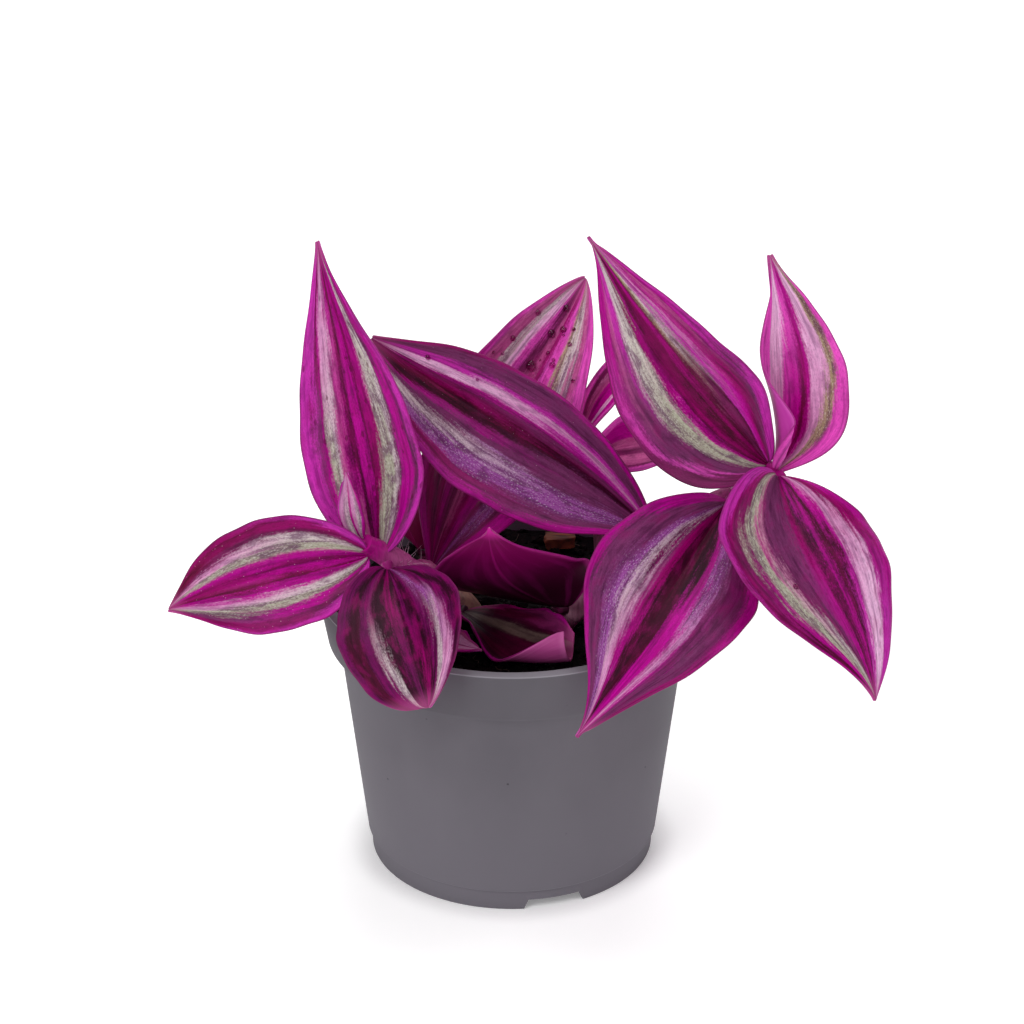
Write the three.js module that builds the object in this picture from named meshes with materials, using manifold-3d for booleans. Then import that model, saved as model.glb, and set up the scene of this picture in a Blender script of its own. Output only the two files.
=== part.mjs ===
// A small tradescantia with broad striped leaves, standing in soil in a round nursery pot.
// Millimetres, +Z up. While it is being built, the pot's axis is the Z axis and its foot is at z = 0.
// The last step moves the whole plant so that the origin lies under the middle of its bounding box.

import * as THREE from "three";
import { mergeVertices } from "three/addons/utils/BufferGeometryUtils.js";
import Module from "manifold-3d";

const wasm = await Module();
wasm.setup();

const clearance = 0.3; // between neighbouring solids

// Pot, from the floor that it stands on to its lip
const potHeight = 45.6;
const lipRadius = 30;
const lipWidth = 1.7;
const lipRounding = 0.3;
const bandBottom = 37.2; // the upper band stands out from the tapered body
const bandRadius = 28.45;
const bodyTopRadius = 26.75;
const bodyFootRadius = 22.55;
const footRingHeight = 3.5;
const footRingRadius = 21.9;
const footRingWidth = 1.1;
const footRingFlare = 0.2; // how much wider the ring is at its top
const shoulderRise = 1.2; // the wall's inner slope, above and below the band's lower edge
const shoulderDrop = 0.4;
const lipBevelDepth = 1.2; // the slope under the lip's inner edge
const lipBevelWidth = 0.4;
const potWall = 1;
const potFloorBottom = 2;
const potFloorTop = 3.2;
const potSegments = 48;

// Trapezoid notches in the foot ring, measured round the pot
const notchCount = 3;
const notchFirstAngle = -72.6; // degrees from +X
const notchHeight = 1.7;
const notchBottomWidth = 10.4;
const notchTopWidth = 8.2;
const notchBarLength = 8.8; // of the bar that cuts a notch
const notchBarDrop = 1; // how far that bar reaches below the foot

// Drain holes through the pot's floor
const drainCount = 6;
const drainRadius = 1.75;
const drainCircle = 13;
const drainSides = 16;

// Soil
const soilTopMiddle = 41;
const soilTopEdge = 40.2;
const soilRimShare = 0.6; // the top slopes down outside this share of its radius

// Leaves
const bladeThickness = 0.6;
const tipHalfWidth = 0.35;
const stalkHalfWidth = 1.2;
const stalkLength = 0.25; // shares of the leaf's length
const foldFadeLength = 0.25;
const foldFadePower = 1.5;
const largeLeaf = { rows: 16, columns: 6 }; // faces along and across a blade
const smallLeaf = { rows: 10, columns: 4 };
const rowCrowding = 0.5; // how much closer the rows of faces lie near both ends
const normalStep = 0.01; // how far apart the points are that a blade's slope is taken from

// Stems
const stemSides = 10;
const stemSteps = 30;
const stemFrames = 200; // directions worked out along a stem's curve
const holeSteps = 10;
const holeRise = 3; // a stem's hole is cut to this height over the soil
const nodeSwelling = 0.35; // how much thicker a stem is where a leaf sheath wraps it
const nodeSwellingLength = 2.2;

// Bark chip
const barkLength = 5.6;
const barkWidth = 3.4;
const barkThickness = 1.5;
const barkPlace = [7.5, 20, soilTopMiddle + 0.1];
const barkTilt = 2; // degrees
const barkTurn = 12;

// Colours and how rough each surface is
const finishes = {
  pot: { color: 0x6c6870, roughness: 0.55 },
  soil: { color: 0x120d0a, roughness: 0.95 },
  stem: { color: 0x9a5a78, roughness: 0.5 },
  leaf: { color: 0x8a1f74, roughness: 0.4 },
  bark: { color: 0x6b3a1c, roughness: 0.9 },
};

// Each leaf in turn. Pairs are for the left and right half, as seen on the upper side, tip up.
// base and tip are the ends of the midrib. face points out of the upper side.
// lift and bow bend the midrib, at one third and two thirds of its length: lift towards the
// upper side, bow towards the leaf's right.
// width is the full width, and widest is where it lies, as a share of the length.
// fullness shapes the outline below that place, and taper above it.
// fold is each half's slope at the midrib, and cup is how much more it slopes at the margin.
// twist turns the blade from base to tip. These angles are in degrees.
// baseFold and baseCup take the place of fold and cup where the leaf joins its stem. They fade
// out over the share of the length that fade gives, or foldFadeLength where it gives none.
// Small leaves are made of fewer faces.

const leaves = {
  leaf_left_tall: {
    base: [-20.3, -10.1, 55.9],
    tip: [-29.5, 11.5, 98],
    face: [-0.3, -0.9, 0.4],
    lift: [1.5, 2.5],
    bow: [3, 1],
    width: 19,
    widest: 0.3,
    fullness: 0.4,
    taper: [1.15, 1.45],
    fold: [15, 16],
    cup: [6, 10],
    baseFold: 50,
    twist: -22,
  },
  leaf_left_side: {
    base: [-21.8, -12.6, 56.9],
    tip: [-52, -15, 49],
    face: [0.05, -0.6, 0.4],
    lift: [3, 3.5],
    bow: [0.5, 1],
    width: 18.5,
    widest: 0.46,
    fullness: 0.4,
    taper: [1.05, 0.95],
    fold: [15, 19],
    cup: [8, 10],
    baseFold: 50,
    twist: 14,
  },
  leaf_left_front: {
    base: [-18.6, -14.5, 54.6],
    tip: [-12.5, -34.5, 43],
    face: [-0.1, -0.75, 0.6],
    lift: [2.5, 3.5],
    bow: [-0.5, 0],
    width: 21,
    widest: 0.52,
    fullness: 0.55,
    taper: [0.7, 0.4],
    fold: [18, 16],
    cup: [10, 8],
    baseFold: 50,
    twist: 18,
  },
  leaf_left_bud: {
    base: [-22.5, -11.3, 58.8],
    tip: [-25, -8.6, 69.1],
    face: [0, -0.9, 0.45],
    lift: [2, 2],
    bow: [-1.5, -0.5],
    width: 4,
    widest: 0.42,
    fullness: 0.6,
    taper: [1.1, 1.15],
    fold: [20, 20],
    cup: [8, 8],
    baseFold: 50,
    twist: 0,
    small: true,
  },
  leaf_left_inner: {
    base: [-14, 4.4, 48.8],
    tip: [-21, 9.5, 66],
    face: [0.45, 0.85, 0.2],
    lift: [-1, -1],
    bow: [0, 0],
    width: 9,
    widest: 0.4,
    fullness: 0.6,
    taper: [1.1, 1.1],
    fold: [15, 15],
    cup: [8, 8],
    baseFold: 40,
    twist: 0,
    small: true,
  },
  leaf_centre_long: {
    base: [21, -1.2, 55.4],
    tip: [-21.5, 13, 81],
    face: [-0.05, -0.85, 0.43],
    lift: [3, 3.5],
    bow: [2, -1],
    width: 24.5,
    widest: 0.5,
    fullness: 0.65,
    taper: [1.2, 0.95],
    fold: [14, 39],
    cup: [8, 10],
    baseFold: 50,
    twist: 8,
  },
  leaf_centre_back: {
    base: [-12.5, 1, 47],
    tip: [11.5, 28, 84],
    face: [0.15, -0.85, 0.4],
    lift: [0.5, 2.5],
    bow: [-4, 0],
    width: 23,
    widest: 0.42,
    fullness: 0.75,
    taper: [0.75, 0.8],
    fold: [22, 14],
    cup: [14, 8],
    baseFold: 50,
    twist: -13,
  },
  leaf_front_upright: {
    base: [7.5, -7.9, 46.1],
    tip: [-3.5, -19.5, 65.5],
    face: [0.15, 0.75, 0.5],
    lift: [-0.5, -4],
    bow: [1, 1],
    width: 23.5,
    widest: 0.4,
    fullness: 0.4,
    taper: [1.25, 1.3],
    fold: [15, 6],
    cup: [4, 4],
    baseFold: 20,
    twist: -6,
  },
  leaf_front_low: {
    base: [-7.6, -4.6, 44.9],
    tip: [9.8, -19.5, 45],
    face: [0, 0, 1],
    lift: [-1, -2.5],
    bow: [4, 4.5],
    width: 18,
    widest: 0.6,
    fullness: 0.5,
    taper: [0.6, 0.5],
    fold: [0, -20],
    cup: [5, 130],
    baseFold: 10,
    baseCup: [5, -10],
    fade: 1,
    twist: 10,
  },
  leaf_front_small: {
    base: [-11.5, -9, 41.8],
    tip: [-4.5, -19, 43.4],
    face: [0, -0.2, 1],
    lift: [0.5, 0.5],
    bow: [2.5, 2],
    width: 7,
    widest: 0.4,
    fullness: 0.6,
    taper: [1.15, 1.1],
    fold: [8, 8],
    cup: [6, 6],
    baseFold: 20,
    twist: 0,
    small: true,
  },
  leaf_back_narrow: {
    base: [10.8, 17.6, 61],
    tip: [26, 28, 77],
    face: [-0.25, -0.8, 0.5],
    lift: [2, 2],
    bow: [-3, 0],
    width: 7,
    widest: 0.45,
    fullness: 0.6,
    taper: [1.1, 1.1],
    fold: [35, 35],
    cup: [8, 8],
    baseFold: 50,
    twist: 0,
    small: true,
  },
  leaf_back_wide: {
    base: [13.4, 16.1, 59.3],
    tip: [29, 14.5, 63],
    face: [-0.1, -0.8, 0.65],
    lift: [3, 2.5],
    bow: [-0.5, 0.5],
    width: 10,
    widest: 0.4,
    fullness: 0.6,
    taper: [1.1, 1.1],
    fold: [15, 18],
    cup: [8, 12],
    baseFold: 50,
    twist: 4,
    small: true,
  },
  leaf_right_tall: {
    base: [38.6, -4.4, 68.2],
    tip: [11.5, 11, 99],
    face: [-0.25, -0.85, 0.38],
    lift: [4, 3.5],
    bow: [-4, -1.5],
    width: 22.5,
    widest: 0.28,
    fullness: 0.5,
    taper: [1.45, 1.1],
    fold: [15, 20],
    cup: [8, 10],
    baseFold: 50,
    twist: -6,
  },
  leaf_right_front: {
    base: [32.5, -7.1, 62.9],
    tip: [9.5, -38, 40],
    face: [-0.05, -0.75, 0.65],
    lift: [3.5, 4],
    bow: [0, -1.5],
    width: 26.5,
    widest: 0.42,
    fullness: 0.7,
    taper: [1.1, 1.75],
    fold: [14, 14],
    cup: [8, 8],
    baseFold: 50,
    twist: 49,
  },
  leaf_right_low: {
    base: [40.1, -7.5, 67.8],
    tip: [54, -35, 44.5],
    face: [0.3, -0.75, 0.62],
    lift: [4, 3],
    bow: [4.5, -1.5],
    width: 29,
    widest: 0.3,
    fullness: 0.6,
    taper: [1.05, 1.3],
    fold: [13, 14],
    cup: [-50, 0],
    baseFold: 45,
    twist: 18,
  },
  leaf_right_folded: {
    base: [42.3, -3.6, 65.8],
    tip: [39, 14.5, 94],
    face: [0, -0.9, 0.4],
    lift: [0.5, 1.5],
    bow: [3.5, 1],
    width: 18,
    widest: 0.28,
    fullness: 0.45,
    taper: [1.45, 1.15],
    fold: [42, 17],
    cup: [15, 12],
    baseFold: [45, 60],
    baseCup: [150, 20],
    fade: 0.72,
    twist: -25,
  },
};

// Each stem in turn. route runs from the foot in the soil to the last leaf. radius is given
// at both ends, and nodes are the shares of the length where a leaf's sheath wraps the stem.

const stems = {
  stem_left: {
    route: [
      [-4.6, -2, 30],
      [-5.8, -3, 41],
      [-12.5, -2.2, 46.8],
      [-19.3, -13, 55.4],
    ],
    radius: [1.9, 1.5],
    nodes: [0.6],
  },
  stem_right: {
    route: [
      [6.4, -5.8, 30],
      [7.4, -6.4, 41],
      [9.4, -6.6, 44.4],
      [20.5, -4.6, 54.5],
      [32, -4.6, 61.5],
      [40.6, -5.6, 66.4],
    ],
    radius: [2, 1.7],
    nodes: [0.32, 0.55, 0.8],
  },
  stem_left_inner: {
    route: [
      [-11.5, 5, 31],
      [-11.8, 4.8, 41],
      [-13.4, 3.9, 48.2],
    ],
    radius: [1.1, 0.9],
    nodes: [],
  },
  stem_back: {
    route: [
      [14.6, 10, 31],
      [14.2, 11, 41],
      [13.4, 14, 51],
      [11.5, 17.1, 60.3],
    ],
    radius: [1.3, 1.1],
    nodes: [],
  },
};

function vector(values) {
  return new THREE.Vector3(...values);
}

// The outline of one half of a leaf, as a distance from the midrib
function halfWidth(leaf, t, side) {
  const rising = Math.min(t / leaf.widest, 1);
  const falling = Math.max((t - leaf.widest) / (1 - leaf.widest), 0);
  const taper = side < 0 ? leaf.taper[0] : leaf.taper[1];
  const lower = Math.sin(Math.PI / 2 * rising) ** leaf.fullness;
  const upper = Math.max(Math.cos(Math.PI / 2 * falling), 0) ** taper;
  const stalk = stalkHalfWidth * Math.max(1 - t / stalkLength, 0);
  return Math.max(leaf.width / 2 * Math.min(lower, upper), stalk, tipHalfWidth);
}

// Point of a leaf's upper face: t runs from base to tip, u from the left margin (-1) to the right (1)
function leafPoint(leaf, t, u) {
  const base = vector(leaf.base);
  const tip = vector(leaf.tip);
  const chord = tip.clone().sub(base);
  const chordDirection = chord.clone().normalize();
  const up = vector(leaf.face).projectOnPlane(chordDirection).normalize();
  const side = chordDirection.clone().cross(up);
  const control = [1, 2].map((third, i) => base.clone()
    .addScaledVector(chord, third / 3)
    .addScaledVector(up, leaf.lift[i])
    .addScaledVector(side, leaf.bow[i]));
  const midrib = new THREE.CubicBezierCurve3(base, control[0], control[1], tip);
  const along = midrib.getTangent(t);
  const normal = up.clone().projectOnPlane(along).normalize();
  normal.applyAxisAngle(along, THREE.MathUtils.degToRad(leaf.twist * (t - 0.5)));
  const across = along.clone().cross(normal);

  const half = u < 0 ? 0 : 1;
  const nearBase = Math.max(1 - t / (leaf.fade ?? foldFadeLength), 0) ** foldFadePower;
  const baseFold = leaf.baseFold[half] ?? leaf.baseFold;
  const baseCup = (leaf.baseCup ?? leaf.cup)[half];
  const fold = THREE.MathUtils.lerp(leaf.fold[half], baseFold, nearBase);
  const cup = THREE.MathUtils.lerp(leaf.cup[half], baseCup, nearBase);
  const slope = THREE.MathUtils.degToRad(fold);
  const bend = THREE.MathUtils.degToRad(cup || 0.1);
  const distance = Math.abs(u);
  const width = halfWidth(leaf, t, u);
  const out = width * (Math.sin(slope + bend * distance) - Math.sin(slope)) / bend;
  const rise = width * (Math.cos(slope) - Math.cos(slope + bend * distance)) / bend;
  return midrib.getPoint(t)
    .addScaledVector(across, Math.sign(u) * out)
    .addScaledVector(normal, rise);
}

function leafNormal(leaf, t, u) {
  const step = normalStep;
  const alongLeaf = leafPoint(leaf, Math.min(t + step, 1), u)
    .sub(leafPoint(leaf, Math.max(t - step, 0), u));
  const acrossLeaf = leafPoint(leaf, t, Math.min(u + step, 1))
    .sub(leafPoint(leaf, t, Math.max(u - step, -1)));
  return acrossLeaf.cross(alongLeaf).normalize();
}

// A closed blade: the same grid of points on both faces, split alike, with a rim between them
function bladeGeometry(leaf) {
  const { rows, columns } = leaf.small ? smallLeaf : largeLeaf;
  const positions = [];
  for (const depth of [0, bladeThickness]) {
    for (let row = 0; row <= rows; row += 1) {
      for (let column = 0; column <= columns; column += 1) {
        const share = row / rows;
        const t = share - rowCrowding * Math.sin(2 * Math.PI * share) / (2 * Math.PI);
        const u = 2 * column / columns - 1;
        const point = leafPoint(leaf, t, u).addScaledVector(leafNormal(leaf, t, u), -depth);
        positions.push(point.x, point.y, point.z);
      }
    }
  }
  const stride = columns + 1;
  const faceSize = stride * (rows + 1);
  const upper = (row, column) => row * stride + column;
  const lower = (row, column) => faceSize + upper(row, column);
  const indices = [];
  for (let row = 0; row < rows; row += 1) {
    for (let column = 0; column < columns; column += 1) {
      const corners = [[row, column], [row, column + 1], [row + 1, column + 1], [row + 1, column]];
      const [a, b, c, d] = corners.map((corner) => upper(...corner));
      const [e, f, g, h] = corners.map((corner) => lower(...corner));
      const leftHalf = column < columns / 2;
      indices.push(...(leftHalf ? [a, b, d, b, c, d] : [a, b, c, a, c, d]));
      indices.push(...(leftHalf ? [e, h, f, f, h, g] : [e, g, f, e, h, g]));
    }
  }
  const rim = [];
  for (let column = 0; column < columns; column += 1) rim.push([0, column]);
  for (let row = 0; row < rows; row += 1) rim.push([row, columns]);
  for (let column = columns; column > 0; column -= 1) rim.push([rows, column]);
  for (let row = rows; row > 0; row -= 1) rim.push([row, 0]);
  rim.forEach((start, i) => {
    const end = rim[(i + 1) % rim.length];
    const [a, b, e, f] = [upper(...start), upper(...end), lower(...start), lower(...end)];
    indices.push(a, e, b, b, e, f);
  });
  return meshGeometry(positions, indices);
}

function meshGeometry(positions, indices) {
  const geometry = new THREE.BufferGeometry();
  geometry.setAttribute("position", new THREE.Float32BufferAttribute(positions, 3));
  geometry.setIndex(indices);
  return geometry;
}

// A closed round bar along a curve, from share `from` to share `to` of its length
function sweptGeometry(curve, from, to, steps, radiusAt) {
  const frames = curve.computeFrenetFrames(stemFrames, false);
  const positions = [];
  for (let step = 0; step <= steps; step += 1) {
    const share = from + (to - from) * step / steps;
    const centre = curve.getPointAt(share);
    const frame = Math.round(share * stemFrames);
    for (let side = 0; side < stemSides; side += 1) {
      const angle = 2 * Math.PI * side / stemSides;
      const point = centre.clone()
        .addScaledVector(frames.normals[frame], radiusAt(share) * Math.cos(angle))
        .addScaledVector(frames.binormals[frame], radiusAt(share) * Math.sin(angle));
      positions.push(point.x, point.y, point.z);
    }
  }
  const first = curve.getPointAt(from);
  const last = curve.getPointAt(to);
  positions.push(first.x, first.y, first.z, last.x, last.y, last.z);
  const startCentre = (steps + 1) * stemSides;
  const endCentre = startCentre + 1;
  const ringPoint = (step, side) => step * stemSides + side % stemSides;
  const indices = [];
  for (let side = 0; side < stemSides; side += 1) {
    for (let step = 0; step < steps; step += 1) {
      const [a, b] = [ringPoint(step, side), ringPoint(step, side + 1)];
      const [c, d] = [ringPoint(step + 1, side + 1), ringPoint(step + 1, side)];
      indices.push(a, b, c, a, c, d);
    }
    indices.push(startCentre, ringPoint(0, side + 1), ringPoint(0, side));
    indices.push(endCentre, ringPoint(steps, side), ringPoint(steps, side + 1));
  }
  return meshGeometry(positions, indices);
}

function solid(geometry) {
  const bare = new THREE.BufferGeometry();
  bare.setAttribute("position", geometry.getAttribute("position").clone());
  if (geometry.index) bare.setIndex(geometry.index.clone());
  const merged = mergeVertices(bare, 1e-4);
  const vertProperties = new Float32Array(merged.getAttribute("position").array);
  const triVerts = new Uint32Array(merged.index.array);
  return new wasm.Manifold(new wasm.Mesh({ numProp: 3, vertProperties, triVerts }));
}

function geometryOf(manifold) {
  const mesh = manifold.getMesh();
  return meshGeometry(Array.from(mesh.vertProperties), Array.from(mesh.triVerts));
}

function piece(name, geometry, finish) {
  const material = new THREE.MeshStandardMaterial({ ...finish, metalness: 0 });
  const mesh = new THREE.Mesh(geometry, material);
  mesh.name = name;
  return mesh;
}

function lathe(profile) {
  const points = profile.map(([radius, z]) => new THREE.Vector2(radius, z));
  return new THREE.LatheGeometry(points, potSegments).rotateX(Math.PI / 2);
}

// Pot

// Inner radius of the tapered body at height z
function bodyInnerRadius(z) {
  const share = (z - footRingHeight) / (bandBottom - footRingHeight);
  return THREE.MathUtils.lerp(bodyFootRadius, bodyTopRadius, share) - potWall;
}

function potGeometry() {
  const bandInner = bandRadius - potWall;
  const lipInner = lipRadius - lipWidth;
  const profile = [
    [0, potFloorBottom],
    [footRingRadius - footRingWidth, potFloorBottom],
    [footRingRadius - footRingWidth, 0],
    [footRingRadius, 0],
    [footRingRadius + footRingFlare, footRingHeight],
    [bodyFootRadius, footRingHeight],
    [bodyTopRadius, bandBottom],
    [bandRadius - lipRounding, bandBottom],
    [bandRadius, bandBottom + lipRounding],
    [lipRadius, potHeight - lipRounding],
    [lipRadius - lipRounding, potHeight],
    [lipInner, potHeight],
    [lipInner - lipBevelWidth, potHeight - lipBevelDepth],
    [bandInner, bandBottom + shoulderRise],
    [bodyInnerRadius(bandBottom), bandBottom - shoulderDrop],
    [bodyInnerRadius(potFloorTop), potFloorTop],
    [0, potFloorTop],
  ];
  let body = solid(lathe(profile));
  for (let i = 0; i < notchCount; i += 1) {
    body = body.subtract(solid(notchGeometry(notchFirstAngle + 360 * i / notchCount)));
  }
  for (let i = 0; i < drainCount; i += 1) {
    body = body.subtract(solid(drainGeometry(360 * i / drainCount)));
  }
  return geometryOf(body);
}

// A bar that runs outwards through the foot ring: a trapezoid, with a straight part below the foot
function notchGeometry(angle) {
  const outline = new THREE.Shape([
    new THREE.Vector2(-notchBottomWidth / 2, -notchBarDrop),
    new THREE.Vector2(notchBottomWidth / 2, -notchBarDrop),
    new THREE.Vector2(notchBottomWidth / 2, 0),
    new THREE.Vector2(notchTopWidth / 2, notchHeight),
    new THREE.Vector2(-notchTopWidth / 2, notchHeight),
    new THREE.Vector2(-notchBottomWidth / 2, 0),
  ]);
  const bar = new THREE.ExtrudeGeometry(outline, { depth: notchBarLength, bevelEnabled: false });
  bar.rotateX(Math.PI / 2).rotateZ(Math.PI / 2);
  bar.translate(footRingRadius - notchBarLength / 2, 0, 0);
  return bar.rotateZ(THREE.MathUtils.degToRad(angle));
}

function drainGeometry(angle) {
  const hole = new THREE.CylinderGeometry(drainRadius, drainRadius, 3 * potFloorTop, drainSides);
  hole.rotateX(Math.PI / 2).translate(drainCircle, 0, potFloorTop);
  return hole.rotateZ(THREE.MathUtils.degToRad(angle));
}

function stemCurve(stem) {
  return new THREE.CatmullRomCurve3(stem.route.map(vector), false, "centripetal");
}

// Radius at a share of the stem's length, thicker at each leaf node
function stemRadius(stem, share) {
  const plain = THREE.MathUtils.lerp(stem.radius[0], stem.radius[1], share);
  const length = stemCurve(stem).getLength();
  const swelling = stem.nodes.reduce((sum, node) => {
    const distance = (share - node) * length / nodeSwellingLength;
    return sum + nodeSwelling * Math.exp(-distance * distance);
  }, 0);
  return plain + swelling;
}

function stemGeometry(stem) {
  return sweptGeometry(stemCurve(stem), 0, 1, stemSteps, (share) => stemRadius(stem, share));
}

// The hole that a stem stands in: the same bar, wider all round and at its foot
function stemHole(stem) {
  const curve = stemCurve(stem);
  let end = 0;
  while (curve.getPointAt(end).z < soilTopMiddle + holeRise) end += 1 / stemFrames;
  const bar = sweptGeometry(curve, 0, end, holeSteps, (share) => stemRadius(stem, share) + clearance);
  const foot = curve.getTangentAt(0).multiplyScalar(-clearance);
  const positions = bar.getAttribute("position");
  const footPoints = [...Array(stemSides).keys(), positions.count - 2];
  for (const i of footPoints) {
    const lowered = new THREE.Vector3().fromBufferAttribute(positions, i).add(foot);
    positions.setXYZ(i, lowered.x, lowered.y, lowered.z);
  }
  return bar;
}

// The plug follows the pot's inside, a clearance away from it
function soilGeometry() {
  const bottom = potFloorTop + clearance;
  const shoulder = bandBottom - shoulderDrop;
  const topRadius = bandRadius - potWall - clearance;
  const profile = [
    [0, bottom],
    [bodyInnerRadius(bottom) - clearance, bottom],
    [bodyInnerRadius(shoulder) - clearance, shoulder],
    [topRadius, bandBottom + shoulderRise],
    [topRadius, soilTopEdge],
    [topRadius * soilRimShare, (soilTopEdge + soilTopMiddle * 2) / 3],
    [0, soilTopMiddle],
  ];
  let plug = solid(lathe(profile));
  for (const stem of Object.values(stems)) plug = plug.subtract(solid(stemHole(stem)));
  return geometryOf(plug);
}

// A flat splinter of bark with five uneven corners, lying on the soil
function barkPiece() {
  const outline = new THREE.Shape([
    new THREE.Vector2(-barkLength / 2, -barkWidth * 0.3),
    new THREE.Vector2(-barkLength * 0.1, -barkWidth / 2),
    new THREE.Vector2(barkLength / 2, -barkWidth * 0.35),
    new THREE.Vector2(barkLength * 0.4, barkWidth * 0.45),
    new THREE.Vector2(-barkLength * 0.35, barkWidth / 2),
  ]);
  const chip = new THREE.ExtrudeGeometry(outline, { depth: barkThickness, bevelEnabled: false });
  const mesh = piece("bark_chip", chip, finishes.bark);
  mesh.position.set(...barkPlace);
  mesh.rotation.set(THREE.MathUtils.degToRad(barkTilt), 0, THREE.MathUtils.degToRad(barkTurn));
  return mesh;
}

const plant = new THREE.Group();
plant.add(piece("pot", potGeometry(), finishes.pot));
plant.add(piece("soil", soilGeometry(), finishes.soil));
for (const [name, stem] of Object.entries(stems)) {
  plant.add(piece(name, stemGeometry(stem), finishes.stem));
}
for (const [name, leaf] of Object.entries(leaves)) {
  plant.add(piece(name, bladeGeometry(leaf), finishes.leaf));
}
plant.add(barkPiece());

plant.updateMatrixWorld(true);
const middle = new THREE.Box3().setFromObject(plant, true).getCenter(new THREE.Vector3());
plant.position.set(-middle.x, -middle.y, 0);

export default plant;
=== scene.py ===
import math
import random

import bmesh
import bpy
from mathutils import Matrix, Vector, noise


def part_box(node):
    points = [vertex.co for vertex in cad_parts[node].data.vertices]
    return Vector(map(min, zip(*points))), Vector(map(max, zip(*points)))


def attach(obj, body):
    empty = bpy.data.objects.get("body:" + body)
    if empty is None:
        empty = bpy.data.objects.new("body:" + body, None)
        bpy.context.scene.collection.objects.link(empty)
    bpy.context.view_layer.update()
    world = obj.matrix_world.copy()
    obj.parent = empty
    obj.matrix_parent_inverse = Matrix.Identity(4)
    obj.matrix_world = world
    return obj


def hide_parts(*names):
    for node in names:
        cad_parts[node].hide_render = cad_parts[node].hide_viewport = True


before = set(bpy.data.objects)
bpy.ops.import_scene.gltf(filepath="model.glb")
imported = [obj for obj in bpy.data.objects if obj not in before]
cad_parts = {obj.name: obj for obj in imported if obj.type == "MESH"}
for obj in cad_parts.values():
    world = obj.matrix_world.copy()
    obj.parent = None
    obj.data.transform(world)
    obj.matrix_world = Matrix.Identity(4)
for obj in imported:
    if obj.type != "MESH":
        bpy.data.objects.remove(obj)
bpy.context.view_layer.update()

mm = 0.001
potLow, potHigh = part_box("pot")
potAxis = Vector(((potLow.x + potHigh.x) / 2, (potLow.y + potHigh.y) / 2, potLow.z))


def spot(place):  # millimetres from the middle of the pot's foot
    return potAxis + Vector(place) * mm


def mixed(a, b, share):
    return a + (b - a) * share


def srgb(red, green, blue):
    values = (red, green, blue)
    return tuple(((c / 255 + 0.055) / 1.055) ** 2.4 if c > 10 else c / 3294.6 for c in values) + (1,)


# Tools for objects

def pickOnly(piece):
    bpy.ops.object.select_all(action="DESELECT")
    piece.select_set(True)
    bpy.context.view_layer.objects.active = piece


def addModifier(piece, kind, **settings):
    modifier = piece.modifiers.new(kind.title(), kind)
    for name, value in settings.items():
        setattr(modifier, name, value)


def applyModifiers(piece):
    pickOnly(piece)
    for modifier in list(piece.modifiers):
        bpy.ops.object.modifier_apply(modifier=modifier.name)


def smoothFaces(piece):
    for polygon in piece.data.polygons:
        polygon.use_smooth = True


def linked(name, data):
    piece = bpy.data.objects.new(name, data)
    bpy.context.collection.objects.link(piece)
    return piece


def settle(piece, material, replaced=()):  # the last step of a piece with one material
    pickOnly(piece)
    bpy.ops.object.transform_apply(location=True, rotation=True, scale=True)
    piece.data.materials.clear()
    piece.data.materials.append(material)
    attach(piece, "root")
    if replaced:
        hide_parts(*replaced)


def meshPiece(name, build):  # build fills an empty bmesh
    mesh = bpy.data.meshes.new(name)
    shape = bmesh.new()
    build(shape)
    shape.to_mesh(mesh)
    shape.free()
    return linked(name, mesh)


def tubes(name, routes, roundness):  # each route is a list of (point, radius), in metres
    curve = bpy.data.curves.new(name, "CURVE")
    curve.dimensions = "3D"
    curve.bevel_depth = 1
    curve.bevel_resolution = roundness
    curve.use_fill_caps = True
    for route in routes:
        spline = curve.splines.new("POLY")
        spline.points.add(len(route) - 1)
        for point, (place, radius) in zip(spline.points, route):
            point.co = (*place, 1)
            point.radius = radius
    pickOnly(linked(name, curve))
    bpy.ops.object.convert(target="MESH")
    smoothFaces(bpy.context.object)
    return bpy.context.object


# Tools for shader nodes

class Signal:  # an output of a node: [name or number] gives another one, and +, - and * add a node
    def __init__(self, node, key=0):
        self.node = node
        self.tree = node.id_data
        self.socket = node.outputs[key]

    def __getitem__(self, key):
        return Signal(self.node, key)

    def __add__(self, other):
        return maths("ADD", self, other)

    def __sub__(self, other):
        return maths("SUBTRACT", self, other)

    def __rsub__(self, other):
        return maths("SUBTRACT", other, self)

    def __mul__(self, other):
        return maths("MULTIPLY", self, other)


def feed(sockets, values):
    for name, value in values.items():
        if isinstance(value, Signal):
            value.tree.links.new(value.socket, sockets[name])
        else:
            sockets[name].default_value = value


def addNode(tree, kind, values=None, **settings):
    node = tree.nodes.new(kind)
    for name, value in settings.items():
        setattr(node, name, value)
    feed(node.inputs, values or {})
    return Signal(node)


def vectorMaths(operation, a, b=(0, 0, 0)):
    return addNode(a.tree, "ShaderNodeVectorMath", {0: a, 1: b}, operation=operation)


def treeOf(*values):
    return next(value.tree for value in values if isinstance(value, Signal))


def maths(operation, a, b=0.0, clamp=False):
    return addNode(treeOf(a, b), "ShaderNodeMath", {0: a, 1: b}, operation=operation, use_clamp=clamp)


def mapRange(value, fromLow, fromHigh, toLow=0.0, toHigh=1.0, smooth=False):
    values = {"Value": value, "From Min": fromLow, "From Max": fromHigh, "To Min": toLow, "To Max": toHigh}
    kind = "SMOOTHSTEP" if smooth else "LINEAR"
    return addNode(value.tree, "ShaderNodeMapRange", values, interpolation_type=kind, clamp=True)


def mixColour(factor, a, b, blend="MIX"):
    tree = treeOf(factor, a, b)
    return addNode(tree, "ShaderNodeMix", {0: factor, 6: a, 7: b}, data_type="RGBA", blend_type=blend)[2]


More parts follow.
